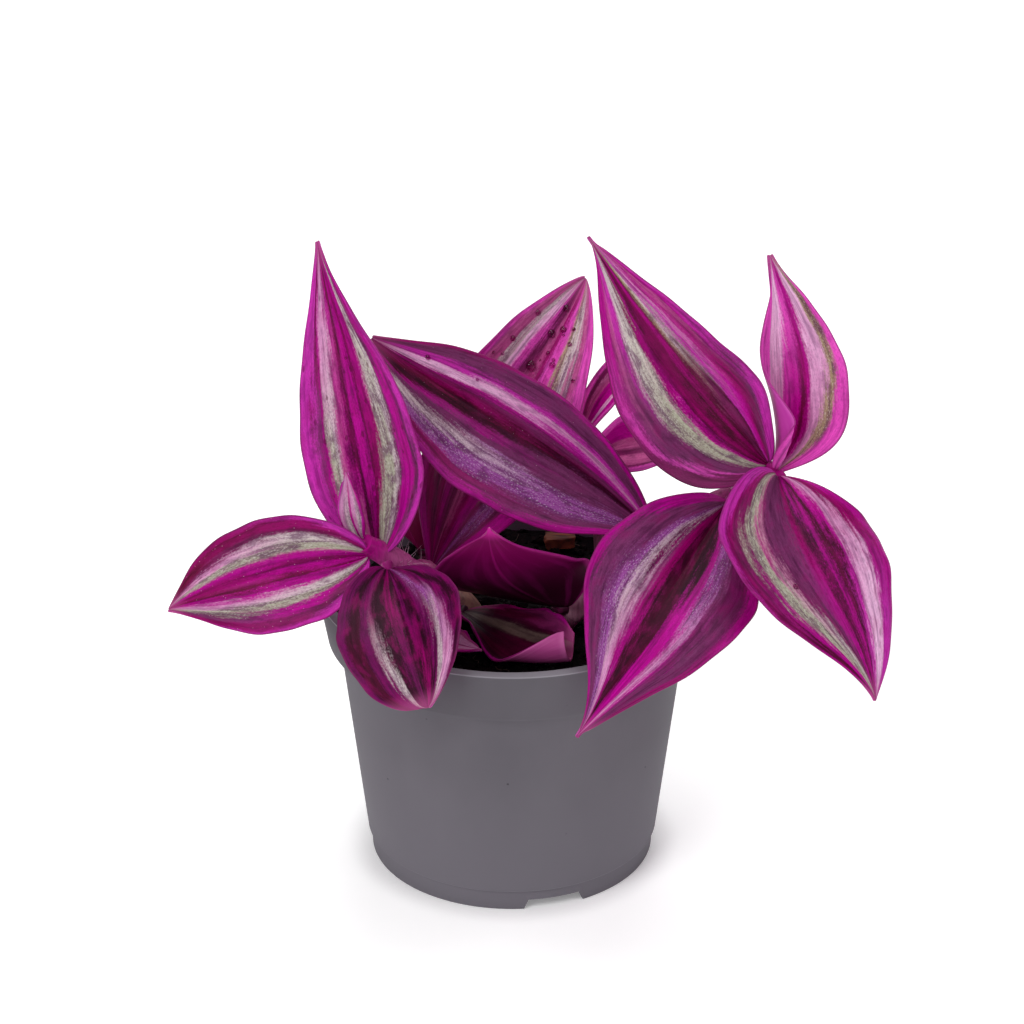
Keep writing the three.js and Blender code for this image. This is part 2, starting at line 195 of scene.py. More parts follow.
def noiseOf(place, stretch, detail=2.0):  # stretch is how many waves there are to a unit, each way
    scaled = vectorMaths("MULTIPLY", place, stretch)
    return addNode(place.tree, "ShaderNodeTexNoise", {"Vector": scaled, "Scale": 1.0, "Detail": detail})


def cellsOf(place, scale):
    return addNode(place.tree, "ShaderNodeTexVoronoi", {"Vector": place, "Scale": scale})


def cellDraw(cells, channel):  # a random value for each cell
    return addNode(cells.tree, "ShaderNodeSeparateColor", {0: cells["Color"]})[channel]


def partsOf(place):
    return addNode(place.tree, "ShaderNodeSeparateXYZ", {0: place})


def heightOf(place):
    return partsOf(place)[2] * (1 / mm)


def bumped(height, depth, strength=1.0):  # depth in millimetres
    values = {"Height": height, "Distance": depth * mm, "Strength": strength}
    return addNode(height.tree, "ShaderNodeBump", values)


def newGroup(name, inputs, outputs):  # the labels of the sockets, by their kind
    group = bpy.data.node_groups.new(name, "ShaderNodeTree")
    for side, sockets in (("INPUT", inputs), ("OUTPUT", outputs)):
        for kind, labels in sockets.items():
            for label in labels:
                group.interface.new_socket(label, in_out=side, socket_type="NodeSocket" + kind)
    return group, addNode(group, "NodeGroupInput"), group.nodes.new("NodeGroupOutput").inputs


def useGroup(group, values):
    return addNode(treeOf(*values.values()), "ShaderNodeGroup", values, node_tree=group)


def newMaterial(name):
    material = bpy.data.materials.new(name)
    material.use_nodes = True
    return material


def placeIn(material, coordinates="Object"):
    return addNode(material.node_tree, "ShaderNodeTexCoord")[coordinates]


def finished(material, values):  # sets or links the shader's own sockets
    feed(material.node_tree.nodes["Principled BSDF"].inputs, values)
    return material


grain = {  # waves to a metre, along x, y and z
    "pot clouds": (60, 60, 35),
    "pot skin": (2500, 2500, 2500),
    "soil patches": (420, 420, 420),
    "fibre": (300, 300, 300),
    "bark layers": (250, 1600, 900),
    "stem clouds": (260, 260, 120),
    "stem lines": (2200, 2200, 260),
    "joint lines": (1100, 1100, 700),
    "hair": (400, 400, 400),
}
print("tools ready")

# Camera, floor and light

camera = {
    "distance": 850,
    "elevation": 27.8,
    "aimHeight": 57.7,
    "lens": 195.6,
    "sensor": 36,
    "clip": (0.01, 20),
}


def addCamera():
    data = bpy.data.cameras.new("camera")
    data.lens = camera["lens"]
    data.sensor_width = camera["sensor"]
    data.clip_start, data.clip_end = camera["clip"]
    rise = math.radians(camera["elevation"])
    back = Vector((0, -math.cos(rise), math.sin(rise)))
    holder = linked("camera", data)
    holder.location = spot((0, 0, camera["aimHeight"])) + back * camera["distance"] * mm
    holder.rotation_euler = (-back).to_track_quat("-Z", "Y").to_euler()
    bpy.context.scene.camera = holder


studio = {
    "floorSize": 6,
    "floorColour": (0.93, 0.93, 0.93, 1),
    # floor glow near the pot and away from it; the lower glow near the pot is a painted contact shadow
    "floorGlow": (0.22, 0.47),
    "glowDistances": (21.5, 27),
    "worldColour": (1, 1, 1, 1),
    "worldStrength": 0.18,
    "aimHeight": 60,
    "lights": [  # place from the pot in metres, size, watts
        ((-0.5, -0.7, 0.8), 0.55, 5.7),
        ((0.6, -0.4, 0.85), 0.5, 1.7),
        ((0.05, 0.15, 0.9), 0.5, 2.8),
        ((0.1, 0.9, 0.55), 0.5, 2),
    ],
}


def addFloor():  # it glows evenly, but less near the pot: a painted contact shadow
    bpy.ops.mesh.primitive_plane_add(size=studio["floorSize"], location=potAxis)
    floor = bpy.context.object
    floor.name = "floor"
    material = newMaterial("paleFloor")
    place = placeIn(material)
    away = vectorMaths("LENGTH", place)["Value"]
    near, far = (distance * mm for distance in studio["glowDistances"])
    floor.data.materials.append(finished(material, {
        "Base Color": studio["floorColour"],
        "Roughness": 0.9,
        "Specular IOR Level": 0.1,
        "Emission Color": studio["floorColour"],
        # painted contact shadow: the glow drops near the pot's foot
        "Emission Strength": mapRange(away, near, far, *studio["floorGlow"], smooth=True),
    }))


def addLights():
    for i, (place, size, power) in enumerate(studio["lights"]):
        data = bpy.data.lights.new(f"softbox{i}", "AREA")
        data.size = size
        data.energy = power
        light = linked(f"softbox{i}", data)
        light.location = potAxis + Vector(place)
        aim = spot((0, 0, studio["aimHeight"])) - light.location
        light.rotation_euler = aim.to_track_quat("-Z", "Y").to_euler()
    world = bpy.data.worlds.new("paleRoom")
    world.use_nodes = True
    background = world.node_tree.nodes["Background"].inputs
    background[0].default_value = studio["worldColour"]
    background[1].default_value = studio["worldStrength"]
    bpy.context.scene.world = world
    bpy.context.scene.view_settings.view_transform = "Standard"


addCamera()
addFloor()
addLights()
print("camera and studio ready")

# Pot: the wall's outline is turned round the axis, then notched and drilled

pot = {
    "height": 45.6,
    "lipRadius": 30,
    "lipWidth": 1.7,
    "bandBottom": 37.2,
    "bandRadius": 28.45,
    "bodyTopRadius": 26.75,
    "bodyFootRadius": 22.55,
    "footRingHeight": 3.5,
    "footRingRadius": 21.9,
    "footRingWidth": 1.1,
    "wall": 1,
    "floorBottom": 2,
    "floorTop": 3.2,
    "stepRise": 1.2,  # how far the wall inside follows the step outside
    "stepDrop": 0.4,
    "turns": 192,
    "rounding": 0.16,
    "notchAngles": (-72.6, 47.4, 167.4),
    "notchHeight": 1.7,
    "notchBottomWidth": 10.4,
    "notchTopWidth": 8.2,
    "drainRadius": 1.75,
    "drainCircle": 13,
    "drainCount": 6,
    "cutDepth": 8,
    "colour": srgb(98, 94, 101),
    "paleColour": srgb(106, 102, 109),
    # painted highlight colour for the lines at the foot ring and the lip
    "edgeColour": srgb(168, 164, 172),
    "speckColour": srgb(40, 36, 42),
    # painted shade: how much darker the band under the leaves is painted
    "bandShade": (0.86, 0.86, 0.86, 1),
    # painted floor-bounce light: paler colour towards the foot
    "footColour": srgb(116, 112, 120),
    "footHeights": (0, 26),
    "roughness": (0.55, 0.68),
    "gloss": 0.06,
    "specks": 330.0,  # cells to a metre
    "speckRarity": 0.9,
    "speckSizes": (0.03, 0.09),
    "speckStrength": 0.7,
    "footEdge": 0.16,
    "lipEdge": 0.2,
}


def bodyInside(height):  # inner radius of the tapered wall
    share = (height - pot["footRingHeight"]) / (pot["bandBottom"] - pot["footRingHeight"])
    return mixed(pot["bodyFootRadius"], pot["bodyTopRadius"], share) - pot["wall"]


def turned(name, profile, turns):  # a point is extruded along the outline, and the outline is spun
    start = spot((profile[0][0], 0, profile[0][1]))
    bpy.ops.mesh.primitive_plane_add(size=mm, location=start)
    piece = bpy.context.object
    piece.name = name
    bpy.ops.object.transform_apply(location=True)
    bpy.ops.object.mode_set(mode="EDIT")
    bpy.ops.mesh.merge(type="CENTER")
    for (radius, height), (nextRadius, nextHeight) in zip(profile, profile[1:]):
        step = ((nextRadius - radius) * mm, 0, (nextHeight - height) * mm)
        bpy.ops.mesh.extrude_vertices_move(TRANSFORM_OT_translate={"value": step})
    bpy.ops.mesh.select_all(action="SELECT")
    bpy.ops.mesh.spin(steps=turns, angle=2 * math.pi, center=potAxis, axis=(0, 0, 1))
    bpy.ops.mesh.select_all(action="SELECT")
    bpy.ops.mesh.remove_doubles(threshold=0.00001)
    bpy.ops.mesh.normals_make_consistent(inside=False)
    bpy.ops.object.mode_set(mode="OBJECT")
    return piece


def cutAway(piece, cutter):
    addModifier(piece, "BOOLEAN", object=cutter, operation="DIFFERENCE", solver="EXACT")
    applyModifiers(piece)
    bpy.data.objects.remove(cutter)


def notchBar(angle):  # a cube whose top is drawn in to a trapezoid
    turn = math.radians(angle)
    outwards = Vector((math.cos(turn), math.sin(turn), 0)) * pot["footRingRadius"] * mm
    drop = 1
    bpy.ops.mesh.primitive_cube_add(size=1, location=potAxis + outwards, rotation=(0, 0, turn))
    bar = bpy.context.object
    bar.scale = (pot["cutDepth"] * mm, pot["notchBottomWidth"] * mm, (pot["notchHeight"] + drop) * mm)
    bar.location.z = potAxis.z + (pot["notchHeight"] - drop) / 2 * mm
    for vertex in bar.data.vertices:
        if vertex.co.z > 0:
            vertex.co.y *= pot["notchTopWidth"] / pot["notchBottomWidth"]
    return bar


def drainBar(index):
    turn = 2 * math.pi * index / pot["drainCount"]
    place = (math.cos(turn) * pot["drainCircle"], math.sin(turn) * pot["drainCircle"], pot["floorTop"])
    bpy.ops.mesh.primitive_cylinder_add(vertices=32, radius=pot["drainRadius"] * mm,
                                        depth=pot["cutDepth"] * mm, location=spot(place))
    return bpy.context.object


def potMaterial():  # clouded grey plastic with a few dark specks, paler towards the foot as painted floor-bounce light, with painted highlight lines at the foot ring and the lip and painted shade on the band
    material = newMaterial("potPlastic")
    place = placeIn(material)
    height = heightOf(place)
    cloudy = noiseOf(place, grain["pot clouds"], 3.0)
    specks = cellsOf(place, pot["specks"])
    rare = maths("GREATER_THAN", cellDraw(specks, 0), pot["speckRarity"])
    dot = rare * mapRange(specks["Distance"], *pot["speckSizes"], 1.0, 0.0)
    tone = mixColour(mapRange(cloudy, 0.35, 0.65), pot["colour"], pot["paleColour"])
    # painted floor-bounce light: the wall is paler towards the foot
    tone = mixColour(mapRange(height, *pot["footHeights"]), pot["footColour"], tone)
    # painted shade on the band, darkened in its colour as if under the leaves
    bandShadeMask = mapRange(height, pot["bandBottom"] - 0.1, pot["bandBottom"] + 0.4)
    tone = mixColour(bandShadeMask, tone, mixColour(1.0, tone, pot["bandShade"], "MULTIPLY"))
    # painted highlights: pale broken lines where the foot ring and the lip catch light
    footEdge = mapRange(maths("ABSOLUTE", height - pot["footRingHeight"]), 0.0, pot["footEdge"], 1.0, 0.0)
    lipEdge = mapRange(maths("ABSOLUTE", height - (pot["height"] - 0.1)), 0.0, pot["lipEdge"], 1.0, 0.0)
    brokenHighlight = (footEdge + lipEdge) * mapRange(cloudy, 0.3, 0.6, 0.2, 0.75)
    highlighted = mixColour(brokenHighlight, tone, pot["edgeColour"])
    return finished(material, {
        "Base Color": mixColour(dot * pot["speckStrength"], highlighted, pot["speckColour"]),
        "Roughness": mapRange(cloudy, 0.3, 0.7, *pot["roughness"]),
        "Specular IOR Level": pot["gloss"],
        "Normal": bumped(noiseOf(place, grain["pot skin"]), 0.02, 0.5),
    })


def addPot():
    bandInside = pot["bandRadius"] - pot["wall"]
    lipInside = pot["lipRadius"] - pot["lipWidth"]
    ringInside = pot["footRingRadius"] - pot["footRingWidth"]
    profile = [
        (0, pot["floorBottom"]),
        (ringInside, pot["floorBottom"]),
        (ringInside, 0),
        (pot["footRingRadius"], 0),
        (pot["footRingRadius"] + 0.2, pot["footRingHeight"]),
        (pot["bodyFootRadius"], pot["footRingHeight"]),
        (pot["bodyTopRadius"], pot["bandBottom"]),
        (pot["bandRadius"], pot["bandBottom"]),
        (pot["lipRadius"], pot["height"]),
        (lipInside, pot["height"]),
        (lipInside - 0.4, pot["height"] - 1.2),
        (bandInside, pot["bandBottom"] + pot["stepRise"]),
        (bodyInside(pot["bandBottom"]), pot["bandBottom"] - pot["stepDrop"]),
        (bodyInside(pot["floorTop"]), pot["floorTop"]),
        (0, pot["floorTop"]),
    ]
    piece = turned("potShell", profile, pot["turns"])
    addModifier(piece, "BEVEL", width=pot["rounding"] * mm, segments=2, limit_method="ANGLE",
                angle_limit=math.radians(20))
    applyModifiers(piece)
    for angle in pot["notchAngles"]:
        cutAway(piece, notchBar(angle))
    for index in range(pot["drainCount"]):
        cutAway(piece, drainBar(index))
    pickOnly(piece)
    bpy.ops.object.shade_smooth_by_angle(angle=math.radians(30))
    settle(piece, potMaterial(), ["pot"])


addPot()
print("pot ready")

# Soil: a plug with a crumbly top, loose crumbs, fibres and a chip of bark

soil = {
    "gap": 0.25,
    "topMiddle": 41,
    "topEdge": 40.2,
    "turns": 150,
    "ringStep": 0.7,
    "slopeReach": 27,
    "relief": 0.75,
    "lumps": ((0.22, 0, 0.6), (0.6, 9, 0.5), (1.7, 0, 0.25)),  # waves to a millimetre, shift, height
    "reach": 26.5,
    "crumbs": 900,
    "crumbReach": 26.6,
    "crumbSizes": (0.3, 1.1),
    "crumbStretch": ((0.7, 1.4), (0.7, 1.2), (0.5, 0.9)),
    "crumbJitter": 0.16,
    "fibres": 60,
    "fibreReach": 25,
    "fibreLengths": (1.5, 5),
    "fibreThicknesses": (0.06, 0.16),
    # the soil tones are its own dark colour made darker still by painted shade from the leaves above
    "darkColour": srgb(10, 5, 8),
    "paleColour": srgb(34, 20, 20),
    "fibreColour": srgb(74, 46, 36),
    "crumbCells": 1100.0,  # cells to a metre
    "roughness": 0.85,
    "gloss": 0.06,
    "seed": 7,
}


def soilHeight(x, y):
    away = min(math.hypot(x, y) / soil["slopeReach"], 1)
    place = Vector((x, y, 0))
    lumps = 0
    for waves, shift, height in soil["lumps"]:
        lumps += noise.noise(place * waves + Vector((shift, 0, 0))) * height
    return mixed(soil["topMiddle"], soil["topEdge"], away**2) + lumps * soil["relief"]


def soilMaterial(name):
    material = newMaterial(name)
    place = placeIn(material)
    patches = noiseOf(place, grain["soil patches"], 4.0)
    crumbs = cellsOf(place, soil["crumbCells"])["Distance"]
    tone = mixColour(mapRange(patches, 0.4, 0.75), soil["darkColour"], soil["paleColour"])
    return finished(material, {
        "Base Color": mixColour(mapRange(crumbs, 0.2, 0.6), tone, soil["darkColour"]),
        "Roughness": soil["roughness"],
        "Specular IOR Level": soil["gloss"],
        "Normal": bumped(crumbs, 0.4, 0.8),
    })


def drawnPlace(draw, reach):  # a random place on the soil
    radius = reach * math.sqrt(draw.random())
    turn = draw.uniform(0, 2 * math.pi)
    return radius * math.cos(turn), radius * math.sin(turn), turn


def addSoil():
    bottom = pot["floorTop"] + soil["gap"]
    shoulder = pot["bandBottom"] - pot["stepDrop"]
    edge = pot["bandRadius"] - pot["wall"] - soil["gap"]
    profile = [
        (0, bottom),
        (bodyInside(bottom) - soil["gap"], bottom),
        (bodyInside(shoulder) - soil["gap"], shoulder),
        (edge, pot["bandBottom"] + pot["stepRise"]),
    ]
    rings = int(edge / soil["ringStep"])
    profile += [(edge * (1 - i / rings), soil["topEdge"]) for i in range(rings + 1)]
    piece = turned("soilPlug", profile, soil["turns"])
    for vertex in piece.data.vertices:
        away = (vertex.co - potAxis) / mm
        if away.z > soil["topEdge"] - 0.01:
            vertex.co.z = potAxis.z + soilHeight(away.x, away.y) * mm
    smoothFaces(piece)
    settle(piece, soilMaterial("pottingSoil"), ["soil"])


def addCrumbs():
    draw = random.Random(soil["seed"])
    jitter = soil["crumbJitter"]

    def build(shape):
        for _ in range(soil["crumbs"]):
            x, y, _ = drawnPlace(draw, soil["crumbReach"])
            size = mixed(*soil["crumbSizes"], draw.random() ** 2.5)
            place = Matrix.Translation(spot((x, y, soilHeight(x, y) + size * 0.25)))
            angle = draw.uniform(0, 6)
            spin = Matrix.Rotation(angle, 4, Vector((draw.random(), draw.random(), 1)).normalized())
            stretch = Matrix.Diagonal([draw.uniform(*sizes) for sizes in soil["crumbStretch"]] + [1])
            made = bmesh.ops.create_icosphere(shape, subdivisions=1, radius=size * mm,
                                              matrix=place @ spin @ stretch)
            for vertex in made["verts"]:
                vertex.co += Vector(draw.uniform(-jitter, jitter) for _ in range(3)) * size * mm

    settle(meshPiece("soilCrumbs", build), soilMaterial("looseCrumbs"))


def addFibres():
    draw = random.Random(soil["seed"] + 1)
    routes = []
    for _ in range(soil["fibres"]):
        x, y, turn = drawnPlace(draw, soil["fibreReach"])
        heading = draw.uniform(0, 2 * math.pi)
        length = draw.uniform(*soil["fibreLengths"])
        thick = draw.uniform(*soil["fibreThicknesses"])
        route = []
        for step in range(6):
            bend = heading + 0.5 * math.sin(step * 0.9 + turn)
            px = x + math.cos(bend) * length * step / 5
            py = y + math.sin(bend) * length * step / 5
            if math.hypot(px, py) < soil["reach"]:
                route.append((spot((px, py, soilHeight(px, py) + 0.25)), thick * mm))
        if len(route) > 2:
            routes.append(route)
    material = newMaterial("soilFibre")
    place = placeIn(material)
    tone = mixColour(noiseOf(place, grain["fibre"]), soil["darkColour"], soil["fibreColour"])
    finished(material, {"Base Color": tone, "Roughness": 0.8})
    settle(tubes("soilFibres", routes, 0), material)


addSoil()
addCrumbs()
addFibres()
print("soil ready")

bark = {
    "place": (7.5, 20, 41.1),
    "length": 5.6,
    "width": 3.4,
    "thickness": 2.1,
    "turn": 12,
    "cuts": 7,
    "taper": 0.16,
    "splitting": 0.3,
    "colour": srgb(128, 62, 34),
    "darkColour": srgb(62, 26, 18),
}


def addBark():
    middle = spot(bark["place"]) + Vector((0, 0, bark["thickness"] / 2 * mm))
    bpy.ops.mesh.primitive_cube_add(size=1, location=middle, rotation=(0, 0, math.radians(bark["turn"])))
    piece = bpy.context.object
    piece.name = "barkSplinter"
    piece.scale = (bark["length"] * mm, bark["width"] * mm, bark["thickness"] * mm)
    bpy.ops.object.transform_apply(location=True, rotation=True, scale=True)
    bpy.ops.object.mode_set(mode="EDIT")
    bpy.ops.mesh.select_all(action="SELECT")
    bpy.ops.mesh.subdivide(number_cuts=bark["cuts"])
    bpy.ops.object.mode_set(mode="OBJECT")
    for vertex in piece.data.vertices:  # the ends are drawn in, and the faces split along the grain
        away = (vertex.co - middle) / mm
        corner = max(abs(away.x) / bark["length"], abs(away.y) / bark["width"]) * 2
        pull = 1 - bark["taper"] * corner * (1 + noise.noise(away * 0.9))
        push = noise.noise(Vector((away.x * 0.5, away.y * 2.2, away.z))) * bark["splitting"]
        vertex.co = middle + Vector((away.x * pull, away.y * pull, away.z * 0.9 + push * 0.6)) * mm
    addModifier(piece, "SUBSURF", levels=1, render_levels=1)
    applyModifiers(piece)
    material = newMaterial("bark")
    place = placeIn(material)
    layers = noiseOf(place, grain["bark layers"], 4.0)
    finished(material, {
        "Base Color": mixColour(mapRange(layers, 0.35, 0.65), bark["darkColour"], bark["colour"]),
        "Roughness": 0.85,
        "Normal": bumped(layers, 0.4),
    })
    settle(piece, material, ["bark_chip"])


addBark()
print("bark ready")

# Leaf colours, as soft daylight shows them

tints = {
    "blush": srgb(200, 46, 172),
    "fuchsia": srgb(182, 2, 142),
    "magenta": srgb(150, 0, 100),
    "wine": srgb(112, 2, 60),
    "maroon": srgb(80, 4, 44),
    "ink": srgb(54, 6, 34),
    "plum": srgb(118, 48, 98),
    "dusk": srgb(122, 34, 90),
    "violet": srgb(150, 72, 150),
    "silver": srgb(206, 188, 192),
    "sage": srgb(172, 168, 150),
    "olive": srgb(166, 144, 114),
    "lilac": srgb(216, 146, 194),
    "rose": srgb(190, 86, 146),
    "orchid": srgb(232, 80, 194),
    "pearl": srgb(248, 196, 234),
    "moss": srgb(98, 78, 74),
    "grape": srgb(110, 8, 84),
}
silverAndGlintBands = ("violet", "silver", "sage", "olive")  # bands with silver, whose brightest cells get painted glints

leafLook = {
    "thickness": 0.42,
    "tipHalfWidth": 0.1,
    "stalkHalfWidth": 1.2,
    "stalkLength": 0.25,
    "smallWidth": 11,  # narrower leaves are made of fewer faces
    "rows": 48,
    "columns": 20,
    "bunching": 0.4,  # how much closer the rows lie near both ends
    "ripple": 0.2,
    "wobble": 0.014,
    "bandSoftness": 0.03,
    "freckleStretch": (1.15, 0.6, 1),
    "darker": (0.36, 0.26, 0.36, 1),
    "brighter": (1.35, 1.5, 1.35, 1),
    "underSilver": srgb(104, 46, 92),
    # painted glint colour for the brightest cells of silver bands
    "sparkle": srgb(236, 224, 232),
    # colour of small pale pink-white specks
    "dust": srgb(224, 180, 204),
    "gloss": 0.1,
    "roughness": 0.42,
}

leafGrain = {  # waves to a millimetre, across a leaf and along it, and detail
    "broad": ((0.22, 0.07, 1), 2.0),
    "medium": ((0.85, 0.055, 1), 3.0),
    "fine": ((3.2, 0.28, 1), 3.0),
    "grit": ((4.6, 2.6, 1), 2.0),
    "streaks": ((1.7, 0.1, 1), 4.0),
    "mottle": ((0.8, 0.36, 1), 3.0),
    "cells": ((6.5, 2.8, 1), 2.0),
}
strength = {  # of each effect on a leaf's upper face
    "dark streaks": 0.62,
    "pale streaks": 0.5,
    "dull patches": 0.52,
    "thin silver": 0.55,
    "worn silver": 0.6,
    "grain": 0.35,
    "sparkle": 0.42,
    "freckles": 0.65,
    "dust": 0.5,
    "edge": 0.6,
    "tip": 0.6,
    "shine": 0.06,
}


def patternGroup():  # where a point lies between the veins, with the streaky shifts of a grown leaf
    labels = ("Across", "Shift", "Along", "Streaks", "Mottle", "Cells", "Freckles", "Pale Specks", "Edge", "Relief")
    group, entry, leave = newGroup("leafPattern", {
        "Vector": ("Place",),
        "Float": ("Width", "Length", "Seed", "Squeeze", "Late"),
    }, {"Float": labels})
    split = partsOf(entry["Place"])
    size = addNode(group, "ShaderNodeCombineXYZ", {
        0: split[0] * entry["Width"],
        1: split[1] * entry["Length"],
        2: entry["Seed"] * 7.3,
    })
    aside = split[0] - 0.5
    nearBase = maths("MAXIMUM", 1.0 - split[1] * 2.6, 0.0)
    across = aside * (nearBase * nearBase * entry["Squeeze"] + 1.0) + 0.5

    def wave(name):
        return noiseOf(size, *leafGrain[name])

    medium = wave("medium") - 0.5
    drift = (wave("broad") - 0.5) * 0.09 + medium * 0.16
    feather = (wave("fine") - 0.5) * 0.06 + (wave("grit") - 0.5) * 0.06
    cells = mapRange(wave("cells"), 0.3, 0.72)
    dots = cellsOf(vectorMaths("MULTIPLY", size, leafLook["freckleStretch"]), 1.0)
    dotReach = mapRange(cellDraw(dots, 1), 0.55, 1.0) * 0.42
    grains = cellsOf(size, 2.4)
    grainReach = mapRange(cellDraw(grains, 2), 0.82, 1.0) * 0.22

    margin = maths("ABSOLUTE", aside)
    veins = maths("SINE", split[0] * entry["Width"] * 7.0)
    feed(leave, {
        "Across": across + (drift + feather),
        "Shift": maths("POWER", split[1], entry["Late"]),
        "Along": split[1] + medium * 0.7,
        "Streaks": mapRange(wave("streaks"), 0.33, 0.67),
        "Mottle": mapRange(wave("mottle"), 0.3, 0.7),
        "Cells": cells,
        "Freckles": mapRange(dotReach - dots["Distance"], 0.0, 0.12),
        "Pale Specks": mapRange(grainReach - grains["Distance"], 0.0, 0.08),
        "Edge": mapRange(margin, 0.482, 0.494),
        "Relief": cells * 0.5 + (veins * 0.15 + mapRange(margin, 0.0, 0.02)),
    })
    return group


def bandGroup():  # paints one band over what is left of it, from its left edge on
    group, entry, leave = newGroup("leafBand", {
        "Color": ("Behind", "Base Colour", "Tip Colour"),
        "Float": ("Behind Silver", "Across", "Shift", "Upwards", "Base", "Tip", "Base Silver", "Tip Silver"),
    }, {"Color": ("Colour",), "Float": ("Silver",)})
    start = entry["Base"] + (entry["Tip"] - entry["Base"]) * entry["Shift"]
    soft = leafLook["bandSoftness"]
    inside = mapRange(entry["Across"] - start, -soft, soft, smooth=True)
    colour = mixColour(entry["Upwards"], entry["Base Colour"], entry["Tip Colour"])
    silver = mapRange(entry["Upwards"], 0.0, 1.0, entry["Base Silver"], entry["Tip Silver"])
    feed(leave, {
        "Colour": mixColour(inside, entry["Behind"], colour),
        "Silver": entry["Behind Silver"] + (silver - entry["Behind Silver"]) * inside,
    })
    return group


def surfaceGroup():  # streaks, silver cells with painted glints, and freckles over the bands, a dark edge and a pale tip
    group, entry, leave = newGroup("leafSurface", {
        "Color": ("Colour",),
        "Float": ("Silver", "Streaks", "Mottle", "Cells", "Freckles", "Pale Specks", "Patches", "Edge"),
        "Vector": ("Place",),
    }, {"Color": ("Colour",), "Float": ("Roughness",)})
    silver, streaks, mottle, cells = (entry[name] for name in ("Silver", "Streaks", "Mottle", "Cells"))
    darker = mixColour(1.0, entry["Colour"], leafLook["darker"], "MULTIPLY")
    brighter = mixColour(1.0, entry["Colour"], leafLook["brighter"], "MULTIPLY")
    colour = mixColour(mapRange(streaks, 0.45, 0.05) * strength["dark streaks"], entry["Colour"], darker)
    colour = mixColour(mapRange(streaks, 0.6, 1.0) * strength["pale streaks"], colour, brighter)
    colour = mixColour(mapRange(mottle, 0.45, 0.0) * strength["dull patches"], colour, darker)
    warm = mapRange(mottle, 0.5, 1.0) * ((1.0 - silver) * entry["Patches"])
    colour = mixColour(warm, colour, tints["magenta"])
    thin = mapRange(streaks * 0.7 + cells * 0.7, 0.72, 0.3) * strength["thin silver"]
    worn = mapRange(mottle, 0.36, 0.1) * strength["worn silver"]
    bare = maths("MAXIMUM", thin, worn) * silver
    colour = mixColour(bare, colour, leafLook["underSilver"])
    colour = mixColour(mapRange(cells, 0.5, 0.0) * strength["grain"], colour, darker)
    # painted glints: the brightest cells of silver bands are lightened to near white, as if catching light
    bright = mapRange(cells, 0.66, 1.0)
    colour = mixColour(bright * silver * strength["sparkle"], colour, leafLook["sparkle"])
    colour = mixColour(entry["Freckles"] * strength["freckles"], colour, tints["maroon"])
    # small pale specks lighten the colour here and there
    colour = mixColour(entry["Pale Specks"] * strength["dust"], colour, leafLook["dust"])
    colour = mixColour(entry["Edge"] * strength["edge"], colour, tints["dusk"])
    tip = mapRange(partsOf(entry["Place"])[1], 0.88, 1.0, smooth=True) * strength["tip"]
    feed(leave, {
        "Colour": mixColour(tip, colour, tints["rose"]),
        "Roughness": leafLook["roughness"] - (bright * 1.5 + silver) * strength["shine"],
    })
    return group


leafPattern = patternGroup()
leafBand = bandGroup()
leafSurface = surfaceGroup()


def bandValues(band):  # one place or tint in a band counts both at the base and at the tip
    places = [(part + 1) / 2 for part in band if not isinstance(part, str)]
    names = [part for part in band if isinstance(part, str)]
    return {
        "Base": places[0],
        "Tip": places[-1],
        "Base Colour": tints[names[0]],
        "Tip Colour": tints[names[-1]],
        "Base Silver": 1.0 if names[0] in silverAndGlintBands else 0.0,
        "Tip Silver": 1.0 if names[-1] in silverAndGlintBands else 0.0,
    }


def leafMaterial(name, leaf, length):
    material = newMaterial(name + "Stripes")
    place = placeIn(material, "UV")
    pattern = useGroup(leafPattern, {
        "Place": place,
        "Width": leaf["width"],
        "Length": length,
        "Seed": leaf["seed"],
        "Squeeze": leaf.get("squeeze", 0.5),
        "Late": leaf.get("late", 1),
    })
    upwards = mapRange(pattern["Along"], 0.3, 0.75)
    bands = [bandValues(band) for band in leaf["bands"]]
    painted = {"Colour": bands[0]["Base Colour"], "Silver": 0.0}
    for values in bands:
        painted = useGroup(leafBand, {
            "Behind": painted["Colour"],
            "Behind Silver": painted["Silver"],
            "Across": pattern["Across"],
            "Shift": pattern["Shift"],
            "Upwards": upwards,
            **values,
        })
    handedOn = {label: pattern[label] for label in ("Streaks", "Mottle", "Cells", "Pale Specks", "Edge")}
    dressed = useGroup(leafSurface, {
        "Colour": painted["Colour"],
        "Silver": painted["Silver"],
        "Freckles": pattern["Freckles"] * leaf.get("freckles", 0.15),
        "Patches": leaf.get("patches", 0.35),
        "Place": place,
        **handedOn,
    })
    return finished(material, {
        "Base Color": dressed["Colour"],
        "Roughness": dressed["Roughness"],
        "Specular IOR Level": leafLook["gloss"],
        "Normal": bumped(pattern["Relief"], 0.05, 0.7),
    })


def undersideMaterial(name, look):
    material = newMaterial(name)
    place = placeIn(material, "UV")
    split = partsOf(place)
    streaks = noiseOf(place, look["grain"], 3.0)
    colour = mixColour(mapRange(split[1], 0.2, look["tipStart"], smooth=True), look["low"], look["high"])
    colour = mixColour(mapRange(streaks, 0.5, 0.72) * look["veins"], colour, look["tip"])
    aside = maths("ABSOLUTE", split[0] - 0.5)
    midrib = mapRange(aside, 0.004, 0.02, 1.0, 0.0, smooth=True)
    colour = mixColour(midrib * look["veins"], colour, look["tip"])
    colour = mixColour(mapRange(aside, 0.45, 0.495, smooth=True) * look["edge"], colour, look["tip"])
    nearTip = mapRange(split[1], look["tipStart"], 1.0, smooth=True)
    return finished(material, {
        "Base Color": mixColour(nearTip, colour, look["tip"]),
        "Roughness": leafLook["roughness"],
        "Specular IOR Level": leafLook["gloss"],
        "Normal": bumped(streaks + midrib, 0.08, 0.6),
    })


